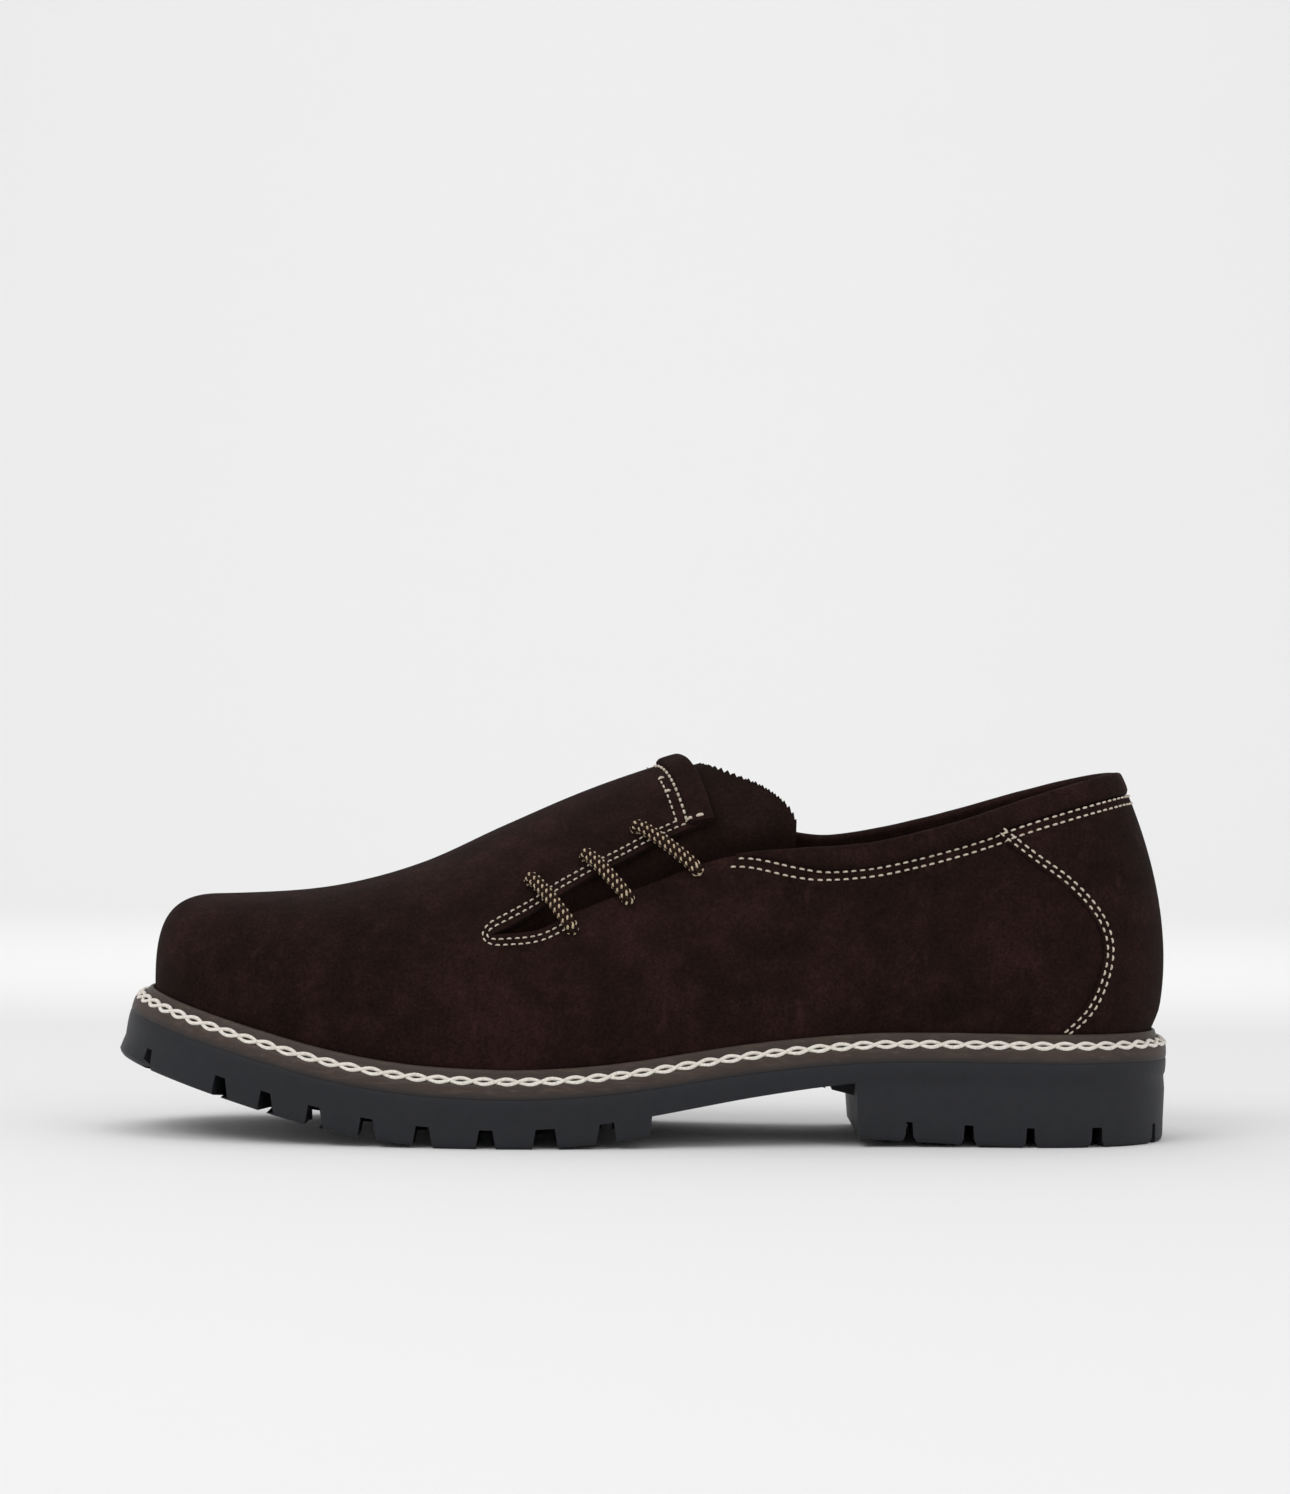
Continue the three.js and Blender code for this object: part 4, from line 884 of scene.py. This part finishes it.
suede = suede_material("suede", paint(27, 17, 14), paint(34, 21, 19), paint(45, 28, 26))
cut_edge = suede_material("cut_edge", paint(24, 15, 12), paint(30, 19, 15), paint(38, 25, 20))
STATIONS = 190
SKIN_ROWS = 26

# Place at the ridge, lean, depth and half width of the flex creases over the ball.
FLEX_CREASES = [(-66, 0.25, 0.35, 4.0), (-52, 0.15, 0.5, 4.5), (-38, 0.3, 0.4, 4.0), (-24, 0.2, 0.25, 5.0)]


def trough(x, middle, half_width):
    return np.exp(-(((x - middle) / half_width) ** 2))


def hand_creases(side, s, t):
    """Soft troughs and ridges at given places, in millimetres off the last."""
    p = on_last(s, side, t)
    x, z = p[..., 0], p[..., 2]
    ball = smooth((z - 30) / 25) * smooth((110 - z) / 30)
    total = np.zeros_like(x)
    for place, lean, depth, width in FLEX_CREASES:
        middle = place + lean * (90 - z)
        total -= depth * ball * trough(x, middle, width)
        total += 0.5 * depth * ball * trough(x, middle + 1.9 * width, width)

    # The quarter sinks a little ahead of the heel, and the toe has a stiffener's edge.
    total -= 0.5 * smooth((z - 35) / 20) * smooth((78 - z) / 20) * trough(x, 95, 16)
    total -= 0.18 * trough(x, -96 - 0.2 * (z - 50), 5)
    return total * smooth(t / 0.12) * smooth((1 - t) / 0.3)


tip_s, tip_t = (float(v) for v in locate(SLIT_TIP, -1, outer_edge(SLIT_TIP)))
throat_s = float(station_of(THROAT_AT))
for _ in range(20):
    throat_s += float(THROAT_AT - ridge_share(share_of(throat_s))) / 2


def drawn(count, target):
    """Stations from 0 to 1 of which one falls on target, and its index."""
    index = round(target * count)
    i = np.arange(count + 1)
    return np.where(i <= index, i / index * target, mix(target, 1, (i - index) / (count - index))), index


tip_row, tip_index = drawn(STATIONS, tip_s)
ridge_row, throat_index = drawn(STATIONS, throat_s)
flap_count = throat_index - tip_index


def parted(t, index, end):
    """t with its values as far as index taken from a curve that leaves the toe at TOE_PART."""
    i = np.arange(len(t))
    return np.where(i <= index, mix(TOE_PART, end, (i / index) ** 2), t)


part_t = parted(cross(tip_row, -1, outer_edge), tip_index, tip_t)
flap_at = np.linspace(SLIT_TIP, SLIT_UPPER["at"][-1], flap_count + 1)
flap_s, flap_t = locate(flap_at, -1, flap_edge(flap_at))
flap_s[0], flap_t[0] = tip_s, tip_t
INNER_COUNT = 115
inner_back = mix(throat_s, 1, (np.arange(1, INNER_COUNT + 1) / INNER_COUNT) ** 1.5)
inner_row = np.concatenate([ridge_row[: throat_index + 1], inner_back])
inner_t = np.where(np.arange(len(inner_row)) <= throat_index, 1.0, cross(inner_row, 1, inner_edge))
join_index = int(np.argmax(inner_row > station_of(JOIN_AT)))
inner_part = parted(inner_t, join_index, inner_t[join_index])


def level(row, t):
    return row, np.full(row.shape, float(t))


flap_row = (np.concatenate([tip_row[:tip_index], flap_s]), np.concatenate([part_t[:tip_index], flap_t]))
upper_patches = [
    patch(-1, level(tip_row, -1), level(tip_row, 0), 3),
    patch(-1, level(tip_row, 0), (tip_row, part_t), SKIN_ROWS),
    patch(-1, flap_row, level(ridge_row[: throat_index + 1], 1), SKIN_ROWS),
    patch(1, level(inner_row, -1), level(inner_row, 0), 3),
    patch(1, level(inner_row, 0), (inner_row, inner_part), SKIN_ROWS),
    patch(1, *(np.stack([inner_row, t])[:, : join_index + 1] for t in (inner_part, inner_t)), SKIN_ROWS),
]
skins = [suede, lining, cut_edge]
panel("upper_suede", upper_patches, hand_creases, -WALL, skins, "upper", 50)


# Tongue: a saddle of the same suede, one layer thick, that lies under the vamp and closes the slit
# and the throat from inside. Its free edge stands up behind the throat and is cut with small teeth.
TONGUE_GAP = 0.7
TONGUE_LOW = {
    "at": [0.33, 0.4, 0.5, 0.58, 0.642],
    "outer": [0.47, 0.52, 0.62, 0.7, 0.74],
    "inner": [0.47, 0.53, 0.64, 0.72, 0.76],
}
TONGUE_END = {
    "at": [0.53, 0.548, 0.566, 0.5855, 0.605, 0.623, 0.635, 0.642],
    "height": [1.068, 1.056, 1.039, 1.014, 0.991, 0.957, 0.92, 0.87],
}
outer_low, inner_low = along(TONGUE_LOW, "outer"), along(TONGUE_LOW, "inner")
tongue_top = along(TONGUE_END, "height")
tongue_suede = suede_material("tongue_suede", paint(25, 16, 13), paint(31, 20, 17), paint(40, 27, 24))
TONGUE_FROM, TONGUE_TO = 0.33, 0.642
TONGUE_THICKNESS = 1.5
TONGUE_SINK = 5.0
TOOTH_PITCH = 2.4
TOOTH_DEPTH = 1.6
SEARCH_SLOPE = 400
ridge_end = throat_s
for _ in range(40):
    miss = COLLAR_HEIGHT * tongue_top(ridge_share(share_of(ridge_end))) - on_last(ridge_end, -1, 1.0)[2]
    ridge_end = float(np.clip(ridge_end + miss / SEARCH_SLOPE, 0, 1))
hidden_part = np.linspace(float(station_of(TONGUE_FROM)), ridge_end, 60)
free_part = np.linspace(ridge_end, float(station_of(TONGUE_TO)), 260)[1:]
tongue_row = np.concatenate([hidden_part, free_part])


def tongue_patch(side, low):
    step = 0.01
    free_t = cross(free_part, side, tongue_top)
    edge = on_last(free_part, side, free_t)
    wave = np.abs((run_of(edge) / TOOTH_PITCH) % 1 - 0.5) * 2
    length = np.linalg.norm(edge - on_last(free_part, side, free_t - step), axis=1) / step
    pinked = free_t - TOOTH_DEPTH * (1 - wave) / length
    top = np.concatenate([np.ones(len(hidden_part)), pinked])
    return patch(side, (tongue_row, cross(tongue_row, side, low)), (tongue_row, top), 22)


def tongue_wave(side, s, t):
    """A slow wave behind the throat, and on the outer side a sag where the slit opens."""
    p = on_last(s, side, t)
    lift = 0.35 * np.sin(p[..., 0] / 7 + p[..., 2] / 9)
    depth = -WALL - TONGUE_GAP - 0.1 + lift * smooth((p[..., 0] - 16) / 14)
    if side < 0:
        above = p[..., 2] / COLLAR_HEIGHT - outer_edge(share_at(p[..., 0]))
        depth = depth - TONGUE_SINK * (1 - smooth(above / 0.09)) * smooth((p[..., 0] + 40) / 12)
    return depth


def tongue_inside(side, s, t):
    return tongue_wave(side, s, t) - TONGUE_THICKNESS


tongue_patches = [tongue_patch(-1, outer_low), tongue_patch(1, inner_low)]
panel(
    "tongue_suede", tongue_patches, tongue_wave, tongue_inside,
    [tongue_suede, tongue_suede, cut_edge], "tongue", 40,
)


# Counter: a panel of suede wrapped round the heel and lapped over both quarters, with its edge
# pared thin. It is held by a double seam inside that edge and by the welt seam at its foot.
COUNTER_THICKNESS = 1.0
BINDING_LEG = 5.2
COUNTER_SEAM = {
    "at": [0.305, 0.383, 0.465, 0.533, 0.587, 0.64, 0.71, 0.77, 0.843],
    "share": [0.887, 0.912, 0.925, 0.929, 0.925, 0.914, 0.89, 0.861, 0.828],
}
seam_at = along(COUNTER_SEAM, "share")
COUNTER_FOOT = -0.3
BACK_GAP = (BINDING_LEG + 2 * CLEARANCE) / COLLAR_HEIGHT


def counter_patch(side):
    edge = outer_edge if side < 0 else inner_edge

    def top_line(at):
        return edge(at) - BACK_GAP

    height = 0.84
    for _ in range(20):
        height = float(top_line(seam_at(height)))
    heights = np.linspace(COUNTER_SEAM["at"][0], height, 40)
    seam_s, seam_t = locate(seam_at(heights), side, heights)
    seam_s = np.append(seam_s[:1], seam_s)
    seam_t = np.append(COUNTER_FOOT, seam_t)
    u = np.linspace(0, 1, 41)
    back_t = mix(COUNTER_FOOT, float(cross(1.0, side, top_line)), u)
    v = np.linspace(0, 1, 49)[:, None]
    s = mix(seam_s, 1.0, v)
    t = mix(seam_t, back_t, v)
    t[:, -1] = cross(s[:, -1], side, top_line)
    return (side, s, t), (seam_s, seam_t)


counter_parts = {side: counter_patch(side) for side in (-1, 1)}


def counter_skin(side, s, t):
    """Height of the panel's outer face, pared at the seam and at the foot."""
    seam_s, seam_t = counter_parts[side][1]
    gaps = on_last(s, side, t)[..., None, :] - on_last(seam_s, side, seam_t)
    inside = smooth(np.min(np.linalg.norm(gaps, axis=-1), axis=-1) / 2.5)
    full = mix(0.75, CLEARANCE + COUNTER_THICKNESS, inside)
    return mix(0.16, full, smooth((t + 0.01) / 0.06))


counter_patches = [grid for grid, _ in counter_parts.values()]
panel("counter_suede", counter_patches, counter_skin, 0.12, skins, "counter", 50)


# Collar binding: one strip of suede rolled over the raw edge of the collar and on over the throat.
# It is sewn down outside by the double row below it, and runs out thin at the front end.
BINDING_GAP = 0.5
BINDING_THICKNESS = 1.3
BINDING_FRONT = 0.583
BINDING_TAPER = 30.0
INNER_LEG = 4.5
ROLL_OUT = BINDING_GAP + BINDING_THICKNESS
ROLL_IN = WALL + 0.3
ROLL_HEIGHT = 1.62
binding_front = float(locate(BINDING_FRONT, -1, outer_edge(BINDING_FRONT))[0])
outer_s = mix(binding_front, 1.0, np.linspace(0, 1, 150))
inner_s = mix(1.0, throat_s, 1 - (1 - np.linspace(0, 1, 190)[1:]) ** 1.5)
inner_top = np.where(inner_s <= throat_s + 1e-6, 1.0, cross(inner_s, 1, inner_edge))
down = np.linspace(0, 1, 46)[1:]
binding_runs = (
    (-1, outer_s, cross(outer_s, -1, outer_edge)),
    (1, inner_s, inner_top),
    (-1, mix(throat_s, flap_s[-1], down), mix(1.0, flap_t[-1], down)),
)
edge_points = np.concatenate([on_last(s, side, t) for side, s, t in binding_runs])
edge_normals = np.concatenate([last_normal(s, side, t) for side, s, t in binding_runs])


def soften(values, passes):
    for _ in range(passes):
        inside = (values[:-2] + 2 * values[1:-1] + values[2:]) / 4
        values = np.concatenate([values[:1], inside, values[-1:]])
    return values


edge_normals = unit(soften(edge_normals, 6))
edge_ahead = unit(soften(np.gradient(edge_points, axis=0), 4))
edge_down = unit(np.cross(edge_ahead, edge_normals))

# Out of the wall and down it, round the roll from the outer seam over the top to the inside.
section = [
    (0.1, BINDING_LEG + 0.15), (0.55 * ROLL_OUT, BINDING_LEG + 0.1), (0.9 * ROLL_OUT, BINDING_LEG - 0.8),
    (ROLL_OUT, BINDING_LEG * 0.6), (1.02 * ROLL_OUT, BINDING_LEG * 0.25),
]
for a in np.linspace(0, np.pi, 13):
    across_wall = (ROLL_OUT - ROLL_IN) / 2 + (ROLL_OUT + ROLL_IN) / 2 * math.cos(a)
    section.append((across_wall, -ROLL_HEIGHT * math.sin(a) ** 0.8))
section += [(-WALL - 0.35, INNER_LEG * 0.6), (-WALL - 0.05, INNER_LEG)]
run = run_of(edge_points)[:, None]
taper = smooth((run + 1.0) / BINDING_TAPER)
wrinkle = 0.12 * np.sin(run / 3.1) * np.sin(run / 11.3 + 1) + 0.08 * np.sin(run / 1.7 + 2)
u, v = np.array(section).T
u = np.where(u > 0, u * mix(0.3, 1, taper) * (1 + wrinkle), u)
v = np.where(v > 0, v * mix(0.1, 1, taper), v * mix(0.35, 1, taper))
points = edge_points[:, None] + edge_normals[:, None] * u[..., None] + edge_down[:, None] * v[..., None]
rows, columns = u.shape
faces = grid_faces(rows, columns)[:, ::-1].tolist()
faces.append(list(range(columns))[::-1])
faces.append([(rows - 1) * columns + k for k in range(columns)])
for i in range(0, (rows - 1) * columns, columns):
    faces.append([i, i + columns, i + 2 * columns - 1, i + columns - 1])
binding = outward(add_mesh("collar_binding_suede", points.reshape(-1, 3), faces))
dress(binding, [suede], ["collar_binding"])
binding.data.set_sharp_from_angle(angle=math.radians(60))


# Seams: pale brown thread in short plump stitches, sewn by machine through the suede. Double rows
# follow the slit, the collar and the counter, and thick tacks close the corner of the throat.
def beside(s, t, side, gap):
    """A row on the surface at `gap` from the line (s, t), on its other side if gap is negative."""
    step = 0.003
    p = on_last(s, side, t)
    tangent = unit(np.gradient(p, axis=0))
    across = np.cross(last_normal(s, side, t), tangent)
    along_s = (on_last(s + step, side, t) - on_last(s - step, side, t)) / (2 * step)
    along_t = (on_last(s, side, t + step) - on_last(s, side, t - step)) / (2 * step)
    aa, bb = (along_s**2).sum(-1), (along_t**2).sum(-1)
    ab = (along_s * along_t).sum(-1)
    ra, rb = (along_s * across).sum(-1), (along_t * across).sum(-1)
    det = aa * bb - ab * ab
    return s + gap * (ra * bb - rb * ab) / det, t + gap * (rb * aa - ra * ab) / det


def surface_row(s, t, side):
    """Points and normals of a line on the creased suede."""
    creased = hand_creases(side, s, np.maximum(t, 0))
    normals = last_normal(s, side, np.clip(t, 0, 1))
    return on_last(s, side, t) + normals * creased[..., None], normals


seams = Thread()
STITCH_WIDE = 0.62
STITCH_HIGH = 0.55
STITCH_FILL = 0.76

# Slit: the double row runs from the throat's corner along the flap, round the tip and back.
SEAM_AHEAD = 0.8
SEAM_BACK = 0.426
flap_line_at = np.linspace(SLIT_UPPER["at"][-1], SLIT_TIP, 160)
back_at = np.linspace(SLIT_TIP, SEAM_BACK, 70)[1:]
slit_lines = (locate(flap_line_at, -1, flap_edge(flap_line_at)), locate(back_at, -1, outer_edge(back_at)))
slit_s, slit_t = np.concatenate(slit_lines, axis=1)
slit_edge = on_last(slit_s, -1, slit_t)


def slit_row(gap):
    """Side-view offset of the slit's outline, drawn out at the tip, put back on the surface."""
    x, z = slit_edge[:, 0], slit_edge[:, 2]
    x = x - SEAM_AHEAD * smooth(1 - (x - x.min()) / 14) ** 1.5
    run = run_of(np.stack([x, z], -1))
    even = np.linspace(0, run[-1], 420)
    x, z = np.interp(even, run, x), np.interp(even, run, z)
    angle = soften(np.unwrap(np.arctan2(np.gradient(z), np.gradient(x))), 90)
    x, z = soften(x + gap * np.sin(angle), 50), soften(z - gap * np.cos(angle), 50)
    return surface_row(*locate(share_at(x), -1, z / COLLAR_HEIGHT), -1)


for gap, start in ((1.5, 6.2), (3.1, 8.4)):
    seams.row(*slit_row(gap), 2.15, 0.82 * STITCH_WIDE, STITCH_HIGH, STITCH_FILL, start)

# Throat: one bright row ahead of the binding from the ridge to the corner, half a row beside it
# with its two tacks, and the thick stitches that close the corner.
down = np.linspace(0.0, 1.0, 80)
throat_line = (mix(throat_s, flap_s[-1], down), mix(1.0, flap_t[-1], down))


def throat_row(gap, low, high):
    keep = (down >= low) & (down <= high)
    s, t = beside(throat_line[0], np.minimum(throat_line[1], 0.999), -1, -gap)
    return surface_row(s[keep], np.minimum(t[keep], 1), -1)


leg = BINDING_LEG + 0.9
seams.row(*throat_row(leg, 0.0, 0.97), 2.3, 0.85, 0.7, 0.8)
seams.row(*throat_row(leg + 2.9, 0.42, 0.96), 2.2, 0.55, 0.5, 0.75)
for position in (0.4, 0.62):
    a, out = throat_row(leg + 1.2, position, position + 0.02)
    b, _ = throat_row(leg + 3.6, position, position + 0.02)
    tack = np.stack([a[0], (a[0] + b[0]) / 2, b[0]])
    seams.row(tack, np.repeat(out[:1], 3, 0), 2.6, 0.9, 0.8, 0.95)

# Corner: three thick stitches across the flap's end, over the binding.
(a, *_), (out, *_) = throat_row(leg + 0.8, 0.955, 0.99)
(b, *_), _ = throat_row(0.9, 0.955, 0.99)
corner = np.stack([a, mix(a, b, 0.3) + out * ROLL_OUT * 0.8, b + out * ROLL_OUT])
seams.row(corner, np.repeat(out[None], 3, 0), 2.4, 1.05, 0.9, 0.9)


# Collar: a double row under the binding, round the heel and up the inner side.
def collar_row(below, first):
    lines, outs = [], []
    start = float(locate(first, -1, outer_edge(first))[0])
    for side, s, t in binding_runs[:2]:
        gap = below + BINDING_LEG
        if side < 0:
            s = np.concatenate([np.linspace(start, s[0], 12)[:-1], s])
            t = cross(s, -1, outer_edge)
        t = np.clip(t, 0, 0.995)
        if side < 0:
            gap = below + BINDING_LEG * smooth((run_of(on_last(s, side, t)) + 3) / BINDING_TAPER)
        s, t = beside(s, t, side, -gap)
        line, out = surface_row(np.clip(s, 0, 1), t, side)
        lines.append(line[side > 0:])
        outs.append(out[side > 0:])
    line, out = np.concatenate(lines), np.concatenate(outs)
    behind = line[:, 0] - station_x(seam_at(line[:, 2] / COLLAR_HEIGHT))
    over = smooth((behind + 0.5) / 1.5) * (CLEARANCE + COUNTER_THICKNESS)
    seams.row(line + out * over[:, None], out, 2.45, STITCH_WIDE, STITCH_HIGH, STITCH_FILL)


collar_row(0.8, 0.5825)
collar_row(2.9, 0.573)

# Counter: a double row inside its edge.
for side in (-1, 1):
    seam_s, seam_t = counter_parts[side][1]
    keep = seam_t > -0.03
    for gap in (0.9, 2.4):
        s, t = beside(seam_s, seam_t, side, side * gap)
        s, t = s[keep], np.maximum(t[keep], 0.002)
        line, out = surface_row(s, t, side)
        line = line + out * counter_skin(side, s, t)[:, None]
        seams.row(line, out, 2.45, STITCH_WIDE, STITCH_HIGH, STITCH_FILL, 0.3)
seams.build("seam_stitches", thread_material("seam_thread", paint(216, 206, 190), paint(168, 154, 136)))


# Lace bars: three short runs of round cord braided from dark and light strands. Each crosses the
# slit from a hole in the flap to a hole in the quarter, and its ends stop inside the suede wall.
LACE_RADIUS = 1.9
LACE_BARS = [
    ((0.389, 0.709), (0.428, 0.584)),
    ((0.4405, 0.774), (0.4805, 0.658)),
    ((0.488, 0.85), (0.545, 0.739)),
]
LACE_LIFT = LACE_RADIUS + CLEARANCE + 0.15
BAR_DEPTH, BAR_FOOT, BAR_SHOULDER, BAR_TOP, BAR_BOW = 1.9, 0.4, 0.9, 1.05, 0.75
STRANDS, LAY_LENGTH = 6, 11.4
CORE_RADIUS, STRAND_HEIGHT, LIGHT_WIDTH, DARK_WIDTH = 1.2, 0.42, 0.42, 0.66
cord_dark = thread_material("cord_dark", paint(44, 29, 23), paint(32, 20, 16), 0.06)
cord_light = thread_material("cord_light", paint(206, 188, 160), paint(160, 138, 112))


def lace_end(at, height):
    s, t = locate(at, -1, height)
    return on_last(s, -1, t), last_normal(s, -1, t)


def bar_line(knots, step):
    """Smooth curve through the knots, by the root of their distances, at even steps."""
    knot_run = run_of(knots, 0.5)
    u = np.linspace(0, knot_run[-1], 200)
    line = np.stack([along({"at": knot_run, "v": knots[:, k]}, "v")(u) for k in range(3)], -1)
    run = run_of(line)
    even = np.linspace(0, run[-1], int(run[-1] / step) + 1)
    return at_run(even, run, line), even


for number, (upper_hole, lower_hole) in enumerate(LACE_BARS, 1):
    (p0, n0), (p1, n1) = lace_end(*upper_hole), lace_end(*lower_hole)
    way = unit(p1 - p0)
    middle, out = (p0 + p1) / 2, unit(n0 + n1)
    bow = np.linalg.norm(middle - p0) * math.sqrt(max(1 - float(n0 @ out) ** 2, 0))
    knots = [middle + out * (LACE_LIFT + bow * BAR_BOW)]
    for hole, normal, inward in ((p0, n0, way), (p1, n1, -way)):
        shoulder = hole + inward * LACE_LIFT * BAR_SHOULDER + normal * LACE_LIFT * BAR_TOP
        foot = hole + inward * 0.1 + normal * LACE_LIFT * BAR_FOOT
        knots = [hole - normal * BAR_DEPTH, foot, shoulder] + knots[::-1]
    centre, at = bar_line(np.array(knots[::-1]), 0.22)
    ahead = unit(np.gradient(centre, axis=0))
    first = unit(np.cross(ahead, np.cross(out, ahead)))
    second = np.cross(ahead, first)
    whole = np.ones(len(at))
    turns = 2 * np.pi / LAY_LENGTH * at
    wave = np.cos(STRANDS * turns)
    light, dark = Thread(), Thread()
    braid = ((light, 1, 1.24 + 0.34 * wave, LIGHT_WIDTH), (dark, -1, 1.42 - 0.1 * wave, DARK_WIDTH))
    for thread, direction, radius, width in braid:
        for strand in range(STRANDS):
            angle = 2 * np.pi * strand / STRANDS + direction * turns
            radial = first * np.cos(angle)[:, None] + second * np.sin(angle)[:, None]
            line = centre + radial * radius[:, None]
            way = unit(np.gradient(line, axis=0))
            thread.tube(line[None], radial[None], way[None], width * whole, STRAND_HEIGHT * whole, 6)
    dark.tube(centre[None], first[None], ahead[None], CORE_RADIUS * whole, CORE_RADIUS * whole, 8)
    faces = light.faces + [[v + light.count for v in face] for face in dark.faces]
    piece = add_mesh(f"lace_bar_{number}_braid", np.concatenate(light.points + dark.points), faces)
    kinds = [0] * len(light.faces) + [1] * len(dark.faces)
    dress(piece, [cord_light, cord_dark], [f"lace_bar_{number}"], kinds)


# Floor, light and camera: a sheet of pale paper swept up behind the shoe, soft lamps on both sides
# and above, one more for the backdrop, and a level camera before the outer side, a little rolled.
profile = [(-3.0, 0.0), (1.6, 0.0)]
profile += [(1.6 + 0.9 * math.sin(a), 0.9 - 0.9 * math.cos(a)) for a in np.linspace(0.1, math.pi / 2, 12)]
profile += [(2.5, 4.0)]
floor_points = [(x, y, z) for y, z in profile for x in (-5.0, 5.0)]
floor_faces = [[2 * k, 2 * k + 1, 2 * k + 3, 2 * k + 2] for k in range(len(profile) - 1)]
floor_mesh = bpy.data.meshes.new("floor")
floor_mesh.from_pydata(floor_points, [], floor_faces)
floor_mesh.polygons.foreach_set("use_smooth", [True] * len(floor_mesh.polygons))
floor = add_object("floor", floor_mesh)
floor.data.materials.append(
    Nodes("floor_paper").finish((0.86, 0.86, 0.86, 1), 0.9, Specular_IOR_Level=0.0)
)

world = bpy.data.worlds.new("world")
bpy.context.scene.world = world
world.use_nodes = True
world.node_tree.nodes["Background"].inputs["Color"].default_value = (1, 1, 1, 1)
world.node_tree.nodes["Background"].inputs["Strength"].default_value = 0.72
bpy.context.scene.view_settings.view_transform = "Standard"


def add_light(name, place, aim, size, power):
    data = bpy.data.lights.new(name, "AREA")
    data.shape = "DISK"
    data.size = size
    data.energy = power
    lamp = add_object(name, data)
    lamp.location = place
    lamp.rotation_mode = "QUATERNION"
    lamp.rotation_quaternion = (Vector(aim) - Vector(place)).to_track_quat("-Z", "Y")


add_light("key", (-0.9, -1.1, 1.5), (0, 0, 0.05), 1.2, 9)
add_light("fill", (1.2, -1.2, 0.9), (0, 0, 0.05), 1.4, 3)
add_light("top", (0, 0.3, 1.8), (0, 0, 0), 1.6, 4)
add_light("backdrop", (0, 0.8, 1.3), (0, 2.6, 0.8), 2.0, 7)
FOCAL_PX = 4172.0
IMAGE_LONG_PX = 1494.0
SENSOR_MM = 36.0
CAMERA_AWAY = 1.2
CAMERA_HIGH = 0.111
CAMERA_ROLL = math.radians(0.5)
camera_data = bpy.data.cameras.new("camera")
camera_data.sensor_width = SENSOR_MM
camera_data.lens = FOCAL_PX / IMAGE_LONG_PX * SENSOR_MM
camera = add_object("camera", camera_data)
roll_cos, roll_sin = math.cos(CAMERA_ROLL), math.sin(CAMERA_ROLL)
camera.matrix_world = Matrix(
    (
        (roll_cos, -roll_sin, 0, 0),
        (0, 0, -1, -CAMERA_AWAY),
        (roll_sin, roll_cos, 0, CAMERA_HIGH),
        (0, 0, 0, 1),
    )
)
bpy.context.scene.camera = camera
